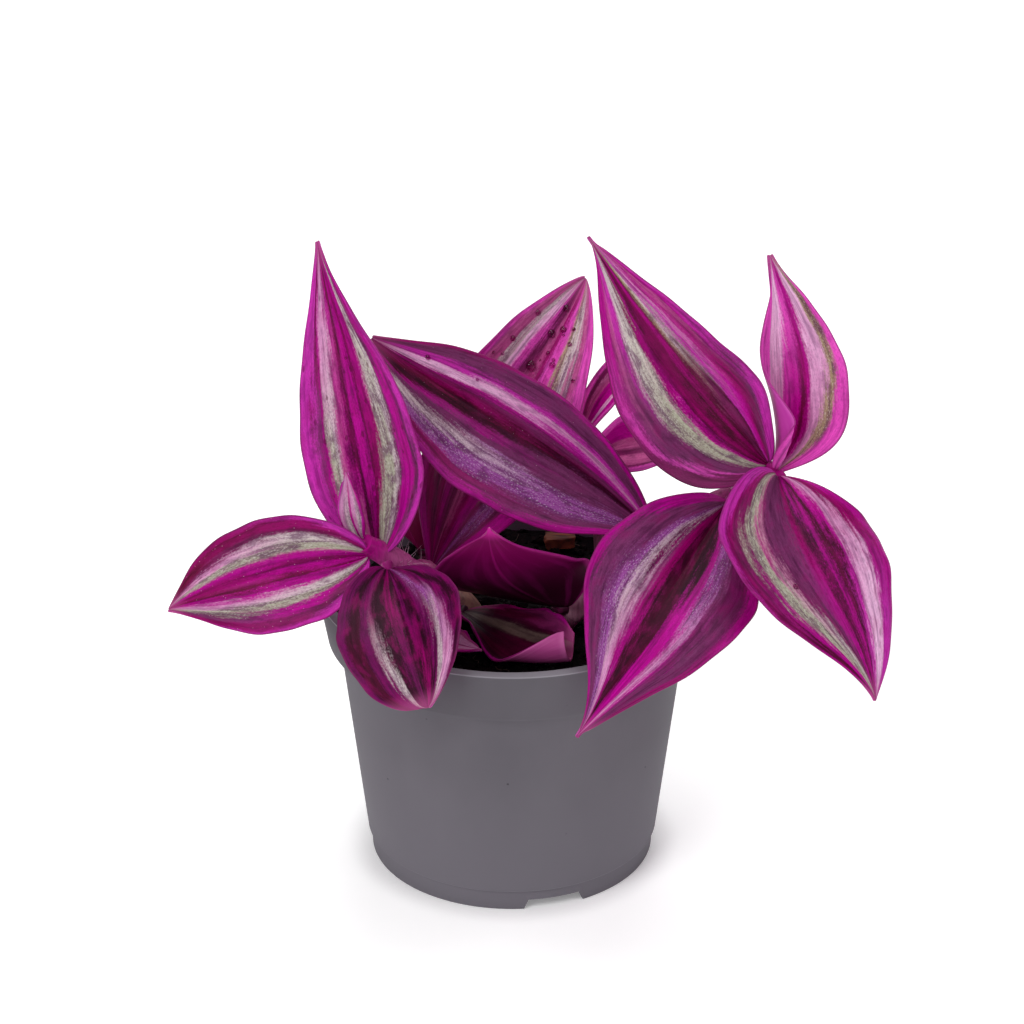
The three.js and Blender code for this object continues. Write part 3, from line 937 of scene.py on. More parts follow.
undersides = {
    "plain": {
        "low": srgb(146, 18, 112), "high": srgb(184, 40, 152), "tip": srgb(216, 92, 188),
        "veins": 0.5, "edge": 0.3, "tipStart": 0.82, "grain": (26, 2.2, 1),
    },
    "bright": {
        "low": srgb(206, 66, 176), "high": srgb(214, 76, 186), "tip": srgb(228, 116, 204),
        "veins": 0.4, "edge": 0.3, "tipStart": 0.82, "grain": (16, 2, 1),
    },
    "dusty": {
        "low": srgb(150, 34, 112), "high": srgb(176, 70, 138), "tip": srgb(196, 96, 160),
        "veins": 0.5, "edge": 0.7, "tipStart": 0.95, "grain": (26, 2.2, 1),
    },
    # painted shade and light: near black towards the base where shade falls, bright pink at the tip where
    # light falls
    "deepPaintedShade": {
        "low": srgb(40, 0, 22), "high": srgb(110, 0, 72), "tip": srgb(200, 34, 150),
        "veins": 0.22, "edge": 0.35, "tipStart": 0.9, "grain": (9, 1.4, 1),
    },
    "wine": {
        "low": srgb(122, 0, 68), "high": srgb(140, 2, 86), "tip": srgb(150, 20, 104),
        "veins": 0.4, "edge": 0.4, "tipStart": 0.9, "grain": (16, 1.8, 1),
    },
}
underMaterials = {
    name: undersideMaterial("underside" + name.title(), look) for name, look in undersides.items()
}
print("leaf colours ready")

# Leaves: the same blades as in the frame, with a finer surface
# A pair of values is for the left and the right half, in lift and bow for the lower and the upper part.
# A band is (where it starts, its tint), from the left margin -1 to the right margin 1. Two places are
# those at the base and at the tip, and so are two tints. Late is how long the bands keep straight.
# Roll is where along the leaf its right margin begins to roll up, and how far it turns by the tip.

leaves = {
    "leaf_left_tall": {
        "base": (-20.3, -10.1, 55.9), "tip": (-29.5, 11.5, 98), "face": (-0.3, -0.9, 0.4),
        "lift": (1.5, 2.5), "bow": (3, 1), "width": 19, "widest": 0.3, "fullness": 0.4,
        "taper": (1.15, 1.45), "fold": (15, 16), "cup": (6, 10), "twist": -22, "freckles": 0.9,
        "squeeze": 0.15, "sides": (1, 1.045), "seed": 1,
        "bands": [
            (-1, "blush"), (-0.8, -0.68, "plum", "wine"), (-0.74, -0.58, "fuchsia"),
            (-0.6, -0.52, "sage", "lilac"), (-0.5, -0.42, "silver", "lilac"),
            (-0.38, -0.32, "rose", "fuchsia"), (-0.26, -0.2, "fuchsia", "wine"), (-0.2, -0.14, "maroon"),
            (-0.1, -0.06, "fuchsia"), (-0.03, 0.12, "maroon", "wine"), (0.03, 0.2, "magenta", "fuchsia"),
            (0.08, 0.58, "sage", "silver"), (0.4, 0.64, "silver"), (0.5, 0.72, "plum"),
            (0.6, 0.8, "fuchsia"), (0.76, 0.9, "plum", "fuchsia"), (0.88, 0.97, "blush"),
        ],
    },
    "leaf_left_side": {
        "base": (-21.8, -12.6, 56.9), "tip": (-52, -15, 49), "face": (0.05, -0.6, 0.4), "lift": (3, 3.5),
        "bow": (0.5, 1), "width": 18.5, "widest": 0.46, "fullness": 0.4, "taper": (1.05, 0.95),
        "fold": (15, 19), "cup": (8, 10), "twist": 14, "seed": 2,
        "bands": [
            (-1, "blush", "magenta"), (-0.86, -0.94, "dusk", "magenta"),
            (-0.66, -0.85, "fuchsia", "plum"), (-0.52, -0.66, "sage"), (-0.4, -0.5, "silver", "lilac"),
            (-0.24, -0.34, "fuchsia"), (-0.1, -0.16, "wine"), (-0.02, -0.04, "fuchsia", "magenta"),
            (0.08, 0.1, "wine", "magenta"), (0.15, 0.16, "fuchsia"), (0.3, "rose", "fuchsia"),
            (0.35, 0.34, "sage"), (0.54, 0.44, "silver", "lilac"), (0.66, 0.54, "dusk"),
            (0.76, 0.66, "magenta", "wine"), (0.93, 0.95, "blush", "magenta"),
        ],
    },
    "leaf_left_front": {
        "base": (-18.8, -13.2, 54.9), "tip": (-12.5, -34.5, 43), "face": (-0.1, -0.75, 0.6),
        "lift": (2.5, 3.5), "bow": (-0.5, 0), "width": 21, "widest": 0.52, "fullness": 0.55,
        "taper": (0.7, 0.4), "fold": (18, 16), "cup": (10, 8), "baseFold": (5, 50), "twist": 18,
        "sides": (0.97, 1), "late": 1.6, "patches": 0.5, "seed": 3,
        "bands": [
            (-1, "grape"), (-0.88, -1.05, "ink"), (-0.72, -1.02, "grape"), (-0.56, -1, "plum", "lilac"),
            (-0.48, -0.88, "violet", "lilac"), (-0.4, -0.76, "plum", "silver"), (-0.34, -0.64, "grape"),
            (-0.24, -0.5, "ink"), (-0.12, -0.36, "grape", "magenta"), (0, -0.2, "ink"),
            (0.12, -0.05, "magenta", "grape"), (0.22, 0.05, "ink"), (0.48, 0.24, "dusk", "silver"),
            (0.56, 0.36, "grape"), (0.72, 0.6, "ink", "maroon"), (0.9, "grape"),
        ],
    },
    "leaf_left_bud": {
        "base": (-22.5, -11.3, 58.8), "tip": (-25, -8.6, 69.1), "face": (0, -0.9, 0.45), "lift": (2, 2),
        "bow": (-1.5, -0.5), "width": 4, "widest": 0.42, "fullness": 0.6, "taper": (1.1, 1.15),
        "fold": (20, 20), "cup": (8, 8), "twist": 0, "seed": 4,
        "bands": [
            (-1, "fuchsia", "blush"), (-0.82, -0.84, "lilac"), (-0.5, "silver", "lilac"),
            (-0.14, -0.06, "fuchsia", "rose"), (0.14, 0.1, "lilac"), (0.45, 0.4, "silver", "lilac"),
            (0.72, "blush", "rose"), (0.84, "fuchsia"),
        ],
    },
    "leaf_left_inner": {
        "base": (-14, 4.4, 48.8), "tip": (-21, 9.5, 66), "face": (0.45, 0.85, 0.2), "lift": (-1, -1),
        "bow": (0, 0), "width": 9, "widest": 0.4, "fullness": 0.6, "taper": (1.1, 1.1), "fold": (15, 15),
        "cup": (8, 8), "baseFold": 40, "twist": 0, "under": "wine", "seed": 5,
        "bands": [
            (-1, "fuchsia"), (-0.8, "plum"), (-0.6, "silver"), (-0.3, "magenta"), (-0.15, "maroon"),
            (0.15, "magenta"), (0.3, "silver"), (0.6, "plum"), (0.8, "fuchsia"),
        ],
    },
    "leaf_centre_long": {
        "base": (21, -1.2, 55.4), "tip": (-21.5, 13, 81), "face": (-0.05, -0.85, 0.43), "lift": (3, 3.5),
        "bow": (2, -1), "width": 24.5, "widest": 0.5, "fullness": 0.65, "taper": (0.92, 0.95),
        "fold": (14, 39), "cup": (8, 10), "twist": 8, "late": 5, "squeeze": 0.2, "freckles": 0.05,
        "patches": 0.15, "seed": 6,
        "bands": [
            (-1, "fuchsia", "blush"), (-0.93, -0.99, "plum", "magenta"), (-0.7, -0.97, "violet"),
            (-0.52, -0.93, "violet", "silver"), (-0.42, -0.88, "violet", "silver"),
            (-0.34, -0.78, "plum"), (-0.14, -0.68, "plum", "fuchsia"), (-0.07, -0.6, "plum", "maroon"),
            (0, -0.5, "ink"), (0.06, -0.34, "maroon", "wine"), (0.12, -0.2, "dusk", "magenta"),
            (0.2, -0.1, "plum", "dusk"), (0.28, 0.0, "fuchsia"), (0.36, 0.1, "blush", "pearl"),
            (0.43, 0.2, "lilac", "pearl"), (0.52, 0.42, "blush"), (0.62, 0.7, "plum"),
            (0.94, 0.95, "fuchsia", "magenta"),
        ],
    },
    "leaf_centre_back": {
        "base": (-12.5, 1, 47), "tip": (11.5, 28, 84), "face": (0.15, -0.85, 0.4), "lift": (0.5, 2.5),
        "bow": (-4, 0), "width": 23, "widest": 0.42, "fullness": 0.75, "taper": (0.75, 0.8),
        "fold": (22, 14), "cup": (14, 8), "twist": -13, "patches": 0.5, "seed": 7,
        "bands": [
            (-1, "fuchsia", "orchid"), (-0.86, "magenta", "rose"), (-0.62, "dusk", "silver"),
            (-0.48, "magenta", "pearl"), (-0.34, -0.32, "fuchsia", "orchid"), (-0.24, -0.2, "dusk"),
            (-0.1, -0.03, "rose"), (0.02, 0.03, "magenta"), (0.2, "fuchsia", "orchid"),
            (0.34, 0.36, "dusk", "olive"), (0.5, 0.48, "violet", "silver"), (0.62, "dusk", "rose"),
            (0.78, "fuchsia", "orchid"),
        ],
    },
    "leaf_front_upright": {
        "base": (7.2, -8.2, 46), "tip": (-3.5, -19.5, 65.5), "face": (0.15, 0.75, 0.5),
        "lift": (-0.5, -4), "bow": (5, 2.6), "width": 23.5, "widest": 0.4, "fullness": (0.4, 0.75),
        "taper": (1.1, 1.35), "fold": (10, 4), "cup": (6, 4), "baseFold": (-26, 20), "fade": 0.5,
        "twist": -6, "sides": (1.14, 1.08), "under": "deepPaintedShade", "seed": 8,
        "bands": [
            (-1, "fuchsia"), (-0.9, "plum"), (-0.62, "silver", "lilac"), (-0.34, "fuchsia"),
            (-0.2, "maroon"), (0.02, "magenta"), (0.1, "wine"), (0.24, "fuchsia"),
            (0.36, "sage", "silver"), (0.62, "plum"), (0.86, "fuchsia"),
        ],
    },
    "leaf_front_low": {
        "base": (-7.6, -6, 43.6), "tip": (11, -19.6, 44.5), "face": (0, 0, 1), "lift": (-0.6, -2.5),
        "bow": (3.2, 4.8), "width": 17, "widest": (0.6, 0.97), "fullness": (0.45, 1.5),
        "taper": (0.6, 0.13), "fold": (14, -26), "cup": (6, 5), "baseFold": 14, "twist": 10,
        "sides": (1.08, 0.9), "baseCup": (5, -10), "fade": 1, "roll": (0.4, 205), "end": 0.93,
        "under": "dusty", "freckles": 0.05, "patches": 0.04, "seed": 9,
        "bands": [
            (-1, "magenta", "fuchsia"), (-0.94, -0.92, "maroon", "dusk"), (-0.6, "ink", "maroon"),
            (-0.4, -0.52, "moss"), (-0.18, -0.26, "ink", "maroon"), (-0.08, -0.12, "ink", "maroon"),
            (0.3, "maroon"), (0.6, "ink", "maroon"), (0.84, 0.86, "fuchsia"),
        ],
    },
    "leaf_front_small": {
        "base": (-11.5, -9, 41.8), "tip": (-4.5, -18.6, 44.1), "face": (0, -0.2, 1), "lift": (0.5, 0.5),
        "bow": (2.5, 2), "width": 7, "widest": 0.4, "fullness": 0.6, "taper": (1.15, 1.1), "fold": (8, 8),
        "cup": (6, 6), "baseFold": 20, "twist": 0, "seed": 10,
        "bands": [
            (-1, "fuchsia"), (-0.82, "rose"), (-0.6, "lilac"), (-0.14, -0.1, "magenta", "rose"),
            (0.14, 0.1, "lilac"), (0.55, "rose"), (0.8, "fuchsia"),
        ],
    },
    "leaf_back_narrow": {
        "base": (10.8, 17.6, 61), "tip": (26, 28, 77), "face": (-0.25, -0.8, 0.5), "lift": (2, 2),
        "bow": (-3, 0), "width": 7, "widest": 0.45, "fullness": 0.6, "taper": (1.1, 1.1),
        "fold": (35, 35), "cup": (8, 8), "twist": 0, "seed": 11,
        "bands": [
            (-1, "orchid"), (-0.8, "dusk"), (-0.5, "rose", "pearl"), (-0.25, "fuchsia"),
            (-0.05, "fuchsia"), (0.2, "fuchsia", "orchid"), (0.4, "pearl"), (0.65, "fuchsia", "dusk"),
            (0.85, "orchid"),
        ],
    },
    "leaf_back_wide": {
        "base": (13.4, 16.1, 59.3), "tip": (29, 14.5, 63), "face": (-0.1, -0.8, 0.65), "lift": (3, 2.5),
        "bow": (-0.5, 0.5), "width": 10, "widest": 0.4, "fullness": 0.6, "taper": (1.1, 1.1),
        "fold": (15, 18), "cup": (8, 12), "twist": 4, "seed": 12,
        "bands": [
            (-1, "orchid"), (-0.85, "fuchsia"), (-0.5, "fuchsia"), (-0.25, "rose"), (0.1, "dusk", "rose"),
            (0.35, "rose"), (0.7, "dusk"), (0.85, "orchid"),
        ],
    },
    "leaf_right_tall": {
        "base": (38.6, -4.4, 68.2), "tip": (11.5, 11, 99), "face": (-0.25, -0.85, 0.38), "lift": (4, 3.5),
        "bow": (-4, -1.5), "width": 22.5, "widest": 0.28, "fullness": 0.5, "taper": (1.45, 1.1),
        "fold": (15, 20), "cup": (8, 10), "twist": -6, "freckles": 0.3, "seed": 13,
        "bands": [
            (-1, "dusk", "fuchsia"), (-0.89, -0.93, "orchid", "fuchsia"),
            (-0.83, -0.86, "plum", "fuchsia"), (-0.74, -0.72, "plum", "rose"),
            (-0.62, -0.64, "plum", "blush"), (-0.54, -0.44, "sage", "silver"),
            (-0.3, -0.14, "fuchsia", "wine"), (-0.2, -0.08, "maroon", "fuchsia"),
            (-0.12, -0.02, "magenta", "maroon"), (-0.02, 0.06, "maroon", "magenta"),
            (0.1, 0.16, "magenta", "fuchsia"), (0.18, 0.24, "maroon", "wine"),
            (0.28, 0.3, "dusk", "olive"), (0.36, 0.4, "maroon", "silver"), (0.44, 0.48, "blush"),
            (0.52, 0.58, "fuchsia", "lilac"), (0.62, 0.66, "magenta", "fuchsia"),
            (0.7, 0.74, "dusk", "rose"), (0.8, 0.83, "plum", "fuchsia"), (0.9, 0.93, "blush"),
        ],
    },
    "leaf_right_front": {
        "base": (32.5, -7.1, 62.9), "tip": (9.5, -38, 40), "face": (-0.05, -0.75, 0.65), "lift": (3.5, 4),
        "bow": (0, -1.5), "width": 26.5, "widest": 0.42, "fullness": 0.7, "taper": (1.1, 1.75),
        "fold": (14, 14), "cup": (8, 8), "twist": 49, "seed": 14,
        "bands": [
            (-1, "fuchsia", "magenta"), (-0.86, -0.92, "grape", "plum"), (-0.6, -0.56, "plum", "fuchsia"),
            (-0.52, -0.46, "violet", "lilac"), (-0.42, -0.32, "fuchsia"), (-0.28, -0.04, "ink", "maroon"),
            (-0.12, 0.08, "maroon", "ink"), (0, 0.16, "ink", "maroon"),
            (0.08, 0.22, "magenta", "fuchsia"), (0.3, 0.28, "grape", "lilac"),
            (0.37, 0.38, "silver", "lilac"), (0.41, 0.46, "violet"), (0.56, 0.6, "plum", "violet"),
            (0.68, "plum"), (0.9, 0.93, "fuchsia"),
        ],
    },
    "leaf_right_low": {
        "base": (40.1, -7.5, 67.8), "tip": (54, -35, 44.5), "face": (0.3, -0.75, 0.62), "lift": (4, 3),
        "bow": (4.5, -1.5), "width": 29, "widest": 0.3, "fullness": 0.6, "taper": (1.05, 1.3),
        "fold": (13, 14), "cup": (-50, 0), "baseFold": 45, "twist": 18, "late": 1.8, "freckles": 0.5,
        "seed": 15,
        "bands": [
            (-1, "fuchsia"), (-0.9, -0.92, "magenta", "blush"), (-0.66, -0.62, "lilac", "pearl"),
            (-0.44, -0.36, "fuchsia", "blush"), (-0.32, -0.28, "maroon"), (-0.2, -0.18, "fuchsia"),
            (-0.12, "ink", "maroon"), (-0.04, -0.02, "magenta", "fuchsia"), (0.06, 0, "plum", "fuchsia"),
            (0.22, 0.02, "plum"), (0.36, 0.05, "plum", "dusk"), (0.54, 0.1, "rose", "silver"),
            (0.62, 0.2, "sage"), (0.77, 0.46, "dusk", "fuchsia"), (0.87, 0.68, "magenta", "maroon"),
            (0.96, 0.88, "blush", "fuchsia"),
        ],
    },
    "leaf_right_folded": {
        "base": (39.8, -3.6, 66.4), "tip": (39.2, 14.5, 94.3), "face": (0, -0.9, 0.4), "lift": (0.5, 1.5),
        "bow": (5, 0.4), "width": 18, "widest": 0.24, "fullness": (0.45, 0.95), "taper": (2.6, 0.98),
        "fold": (40, 17), "cup": (15, 12), "baseFold": (45, 48), "sides": (1.3, 1.2),
        "baseCup": (150, 20), "fade": 0.72, "twist": -25, "under": "bright", "patches": 0.15, "seed": 16,
        "bands": [
            (-1, "orchid"), (-0.5, -0.55, "lilac", "pearl"), (-0.22, 0.12, "fuchsia", "orchid"),
            (0.1, 0.28, "wine", "fuchsia"), (0.22, 0.4, "fuchsia"), (0.3, 0.52, "lilac", "pearl"),
            (0.52, 0.8, "olive"), (0.7, 0.95, "orchid"),
        ],
    },
}


def eachHalf(value):  # left and right
    return value if isinstance(value, tuple) else (value, value)


def halfWidth(leaf, t, side):
    half = 0 if side < 0 else 1
    widest = eachHalf(leaf["widest"])[half]
    rising = min(t / widest, 1)
    falling = max((t - widest) / (1 - widest), 0)
    lower = math.sin(math.pi / 2 * rising) ** eachHalf(leaf["fullness"])[half]
    upper = max(math.cos(math.pi / 2 * falling), 0) ** leaf["taper"][half]
    stalk = leafLook["stalkHalfWidth"] * max(1 - t / leafLook["stalkLength"], 0)
    slow = math.sin(17 * t + 3 * leaf["seed"] + 2 * side)
    wobble = slow + 0.6 * math.sin(37 * t + 5 * leaf["seed"] - side)
    wide = leaf["width"] / 2 * leaf.get("sides", (1, 1))[half] * (1 + leafLook["wobble"] * wobble)
    return max(wide * min(lower, upper), stalk, leafLook["tipHalfWidth"])


def leafPoint(leaf, t, u):  # millimetres; t runs from base to tip, u from the left margin -1 to the right 1
    t *= leaf.get("end", 1)
    base, tip = Vector(leaf["base"]), Vector(leaf["tip"])
    chord = tip - base
    ahead = chord.normalized()
    face = Vector(leaf["face"])
    up = (face - ahead * face.dot(ahead)).normalized()
    side = ahead.cross(up)
    first = base + chord / 3 + up * leaf["lift"][0] + side * leaf["bow"][0]
    second = base + chord * 2 / 3 + up * leaf["lift"][1] + side * leaf["bow"][1]
    s = 1 - t
    middle = base * s**3 + first * 3 * s**2 * t + second * 3 * s * t**2 + tip * t**3
    along = ((first - base) * s**2 + (second - first) * 2 * s * t + (tip - second) * t**2).normalized()
    normal = (up - along * up.dot(along)).normalized()
    normal.rotate(Matrix.Rotation(math.radians(leaf["twist"] * (t - 0.5)), 3, along))
    across = along.cross(normal)

    half = 0 if u < 0 else 1
    nearBase = max(1 - t / leaf.get("fade", 0.25), 0) ** 1.5
    slope = math.radians(mixed(leaf["fold"][half], eachHalf(leaf.get("baseFold", 50))[half], nearBase))
    bend = math.radians(mixed(leaf["cup"][half], leaf.get("baseCup", leaf["cup"])[half], nearBase) or 0.1)
    if u > 0 and "roll" in leaf:  # the right margin rolls up towards the tip
        start, angle = leaf["roll"]
        share = max(t - start, 0) / (1 - start)
        bend += math.radians(angle) * share * share * (3 - 2 * share)
    width = halfWidth(leaf, t, u)
    out = width * (math.sin(slope + bend * abs(u)) - math.sin(slope)) / bend
    rise = width * (math.cos(slope) - math.cos(slope + bend * abs(u))) / bend
    wave = leafLook["ripple"] * abs(u) ** 3 * math.sin(19 * t + 5 * leaf["seed"] + 2 * u) * min(4 * t, 1)
    return middle + across * math.copysign(out, u) + normal * (rise + wave)


def leafLength(leaf):
    points = [leafPoint(leaf, i / 20, 0) for i in range(21)]
    return sum((b - a).length for a, b in zip(points, points[1:]))


def bunched(share):
    return share - leafLook["bunching"] * math.sin(2 * math.pi * share) / (2 * math.pi)


def addLeaf(name, leaf):
    coarser = 2 if leaf["width"] < leafLook["smallWidth"] else 1
    bpy.ops.mesh.primitive_grid_add(x_subdivisions=leafLook["columns"] // coarser,
                                    y_subdivisions=leafLook["rows"] // coarser, size=2)
    piece = bpy.context.object
    piece.name = name + "_blade"
    for vertex in piece.data.vertices:
        vertex.co = spot(leafPoint(leaf, bunched((vertex.co.y + 1) / 2), vertex.co.x))
    for corner in piece.data.uv_layers.active.data:
        corner.uv.y = bunched(corner.uv.y)
    smoothFaces(piece)
    piece.data.materials.append(leafMaterial(name, leaf, leafLength(leaf)))
    piece.data.materials.append(underMaterials[leaf.get("under", "plain")])
    addModifier(piece, "SOLIDIFY", thickness=leafLook["thickness"] * mm, offset=-1, material_offset=1)
    addModifier(piece, "SUBSURF", levels=1, render_levels=1)
    applyModifiers(piece)
    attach(piece, "root")
    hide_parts(name)


for name, leaf in leaves.items():
    addLeaf(name, leaf)
print("leaves ready")

# Stems: each runs from its foot in the soil to its last leaf, with a swelling at each node
# A sheath is (the share of the stem's length where it is tight, and where it opens)

stems = {
    "stem_left": {
        "route": [(-4.6, -2, 30), (-5.8, -3, 41), (-11.8, -2.2, 46.8), (-15.5, -8.2, 52.4),
                  (-22.2, -12.5, 59)],
        "radius": (1.9, 1.45), "nodes": (0.6,), "sheaths": ((0.28, 0.44), (0.5, 0.66), (0.97, 0.77)),
        "low": srgb(98, 56, 54), "lowPale": srgb(150, 112, 98),
    },
    "stem_right": {
        "route": [(6.4, -5.8, 30), (7.4, -6.4, 41), (9.4, -6.6, 44.4), (20.5, -4.6, 54.5),
                  (32, -4.6, 61.5), (40.6, -5.6, 66.4)],
        "radius": (2, 1.7), "nodes": (0.32, 0.55, 0.8), "sheaths": ((0.26, 0.38), (0.5, 0.6), (0.74, 0.86)),
        "low": srgb(118, 60, 88), "lowPale": srgb(172, 122, 142),
    },
    "stem_left_inner": {
        "route": [(-11.5, 5, 31), (-11.8, 4.8, 41), (-13.4, 3.9, 48.2)],
        "radius": (1.1, 0.9), "nodes": (), "sheaths": ((0.8, 0.96),),
        "low": srgb(98, 40, 72), "lowPale": srgb(128, 66, 98),
    },
    "stem_back": {
        "route": [(14.6, 10, 31), (14.2, 11, 41), (13.4, 14, 51), (11.5, 17.1, 60.3)],
        "radius": (1.3, 1.1), "nodes": (), "sheaths": ((0.8, 0.96),),
        "low": srgb(98, 48, 74), "lowPale": srgb(132, 84, 104),
    },
}

stemLook = {
    "steps": 90,
    "roundness": 5,
    "swelling": 0.35,
    "swellingLength": 2.2,
    "colour": srgb(150, 34, 112),
    "paleColour": srgb(178, 74, 138),
    "darkColour": srgb(92, 22, 66),
    "fadeHeights": (46.5, 53),
    "roughness": 0.4,
    "gloss": 0.3,
    "sheathGap": 0.24,
}

stalkLook = {
    "back": 2.0,
    "endAlong": 0.05,
    "steps": 14,
    "radii": (1.1, 1.3, 0.75, 0.25),
    "sink": (0.95, 0.85),
    "slender": 0.65,
    "slenderStems": ("stem_back", "stem_left_inner"),
    "voxel": 0.17,
    "smoothing": 16,
    "joints": ((-22, -12.3, 58.6), (40, -5.8, 67)),  # where the two leaf clusters sit
    "colour": srgb(168, 6, 124),
    "paleColour": srgb(148, 16, 110),
    "lineColour": srgb(132, 26, 92),
    # painted shade: near black colour of the stalks lowest down among the leaves
    "lowColour": srgb(50, 10, 32),
    "lowHeights": (49, 54),
    "fadeDistances": (1.8, 5),
}


def catmullRom(points, count):  # a smooth line through the points, with spacing that avoids loops
    points = [Vector(p) for p in points]
    padded = [points[0] * 2 - points[1], *points, points[-1] * 2 - points[-2]]
    line = []
    for i in range(len(points) - 1):
        p = padded[i:i + 4]
        knots = [0.0]
        for a, b in zip(p, p[1:]):
            knots.append(knots[-1] + (b - a).length ** 0.5)
        for step in range(count):
            t = mixed(knots[1], knots[2], step / count)
            level = p
            for low, high in ((0, 1), (0, 2), (1, 2)):
                level = [level[k] + (level[k + 1] - level[k]) *
                         ((t - knots[k + low]) / (knots[k + high] - knots[k + low]))
                         for k in range(len(level) - 1)]
            line.append(level[0])
    line.append(points[-1])
    return line


def evenly(line, count):  # the same line with evenly spaced points, and its length
    travelled = [0.0]
    for a, b in zip(line, line[1:]):
        travelled.append(travelled[-1] + (b - a).length)
    placed = []
    k = 0
    for i in range(count + 1):
        want = travelled[-1] * i / count
        while k < len(line) - 2 and travelled[k + 1] < want:
            k += 1
        share = (want - travelled[k]) / (travelled[k + 1] - travelled[k])
        placed.append(line[k].lerp(line[k + 1], share))
    return placed, travelled[-1]


def stemThickness(stem, share, length):
    thick = mixed(*stem["radius"], share)
    for node in stem["nodes"]:
        away = (share - node) * length / stemLook["swellingLength"]
        thick += stemLook["swelling"] * math.exp(-away * away)
    return thick


def glowGroup():  # one near the two leaf clusters, none away from them
    group, entry, leave = newGroup("jointGlow", {"Vector": ("Place",)}, {"Float": ("Near",)})
    nears = []
    for joint in stalkLook["joints"]:
        away = vectorMaths("DISTANCE", entry["Place"], spot(joint))["Value"] * (1 / mm)
        nears.append(mapRange(away, *stalkLook["fadeDistances"], 1.0, 0.0, smooth=True))
    feed(leave, {"Near": nears[0] + nears[1]})
    return group


jointGlow = glowGroup()


def stemMaterial(name, stem, lighter):  # duller near the soil, fuchsia at the leaf clusters
    material = newMaterial(name)
    place = placeIn(material)
    clouds = mapRange(noiseOf(place, grain["stem clouds"], 3.0), 0.35, 0.65)
    patches = maths("ADD", clouds, lighter, clamp=True)
    lines = noiseOf(place, grain["stem lines"])
    high = mixColour(patches, stemLook["colour"], stemLook["paleColour"])
    low = mixColour(patches, stem["low"], stem["lowPale"])
    tone = mixColour(mapRange(heightOf(place), *stemLook["fadeHeights"], smooth=True), low, high)
    warm = mixColour(useGroup(jointGlow, {"Place": place})["Near"], tone, stalkLook["colour"])
    return finished(material, {
        "Base Color": mixColour(mapRange(lines, 0.45, 0.7, 0.0, 0.45), warm, stemLook["darkColour"]),
        "Roughness": stemLook["roughness"],
        "Specular IOR Level": stemLook["gloss"],
        "Normal": bumped(lines, 0.08, 0.6),
    })


def sheathRoute(stem, line, length, shares, start, end):
    low, high = sorted((start, end))
    inside = [(p, share) for p, share in zip(line, shares) if low <= share <= high]
    route = []
    for i, (p, share) in enumerate(inside):
        along = i / (len(inside) - 1)
        opening = along if start < end else 1 - along
        flare = stemLook["sheathGap"] * (0.2 + 0.8 * math.sin(math.pi * opening) + 0.9 * opening)
        route.append((spot(p), (stemThickness(stem, share, length) + flare) * mm))
    return route


stemLines = {}


def addStem(name, stem):
    line, length = evenly(catmullRom(stem["route"], 40), stemLook["steps"])
    stemLines[name] = line
    shares = [i / stemLook["steps"] for i in range(stemLook["steps"] + 1)]
    route = [(spot(p), stemThickness(stem, share, length) * mm) for p, share in zip(line, shares)]
    piece = tubes(name + "_skin", [route], stemLook["roundness"])
    settle(piece, stemMaterial(name + "Skin", stem, 0.0), [name])
    sheaths = [sheathRoute(stem, line, length, shares, start, end) for start, end in stem["sheaths"]]
    piece = tubes(name + "_sheaths", sheaths, stemLook["roundness"])
    settle(piece, stemMaterial(name + "Sheath", stem, 0.5))


for name, stem in stems.items():
    addStem(name, stem)
print("stems ready")

# Stalks: the short sleeves that join the leaves to the stems, merged into one skin

stalks = {
    "leaf_left_tall": "stem_left",
    "leaf_left_side": "stem_left",
    "leaf_left_front": "stem_left",
    "leaf_left_bud": "stem_left",
    "leaf_left_inner": "stem_left_inner",
    "leaf_centre_back": "stem_left",
    "leaf_centre_long": "stem_right",
    "leaf_front_upright": "stem_right",
    "leaf_front_low": "stem_left",
    "leaf_front_small": "stem_left",
    "leaf_back_narrow": "stem_back",
    "leaf_back_wide": "stem_back",
    "leaf_right_tall": "stem_right",
    "leaf_right_front": "stem_right",
    "leaf_right_low": "stem_right",
    "leaf_right_folded": "stem_right",
}


def jointMaterial():  # fuchsia where the leaves meet, dusty pink further down, and near black lowest down as painted shade under the leaves
    material = newMaterial("jointSkin")
    place = placeIn(material)
    lines = noiseOf(place, grain["joint lines"], 3.0)
    # painted shade: below these heights the stalks turn near black
    low = mapRange(heightOf(place), *stalkLook["lowHeights"])
    tone = mixColour(low, stalkLook["lowColour"], stalkLook["paleColour"])
    warm = mixColour(useGroup(jointGlow, {"Place": place})["Near"], tone, stalkLook["colour"])
    return finished(material, {
        "Base Color": mixColour(mapRange(lines, 0.45, 0.7, 0.0, 0.55), warm, stalkLook["lineColour"]),
        "Roughness": stemLook["roughness"],
        "Specular IOR Level": stemLook["gloss"],
        "Normal": bumped(lines, 0.06, 0.6),
    })


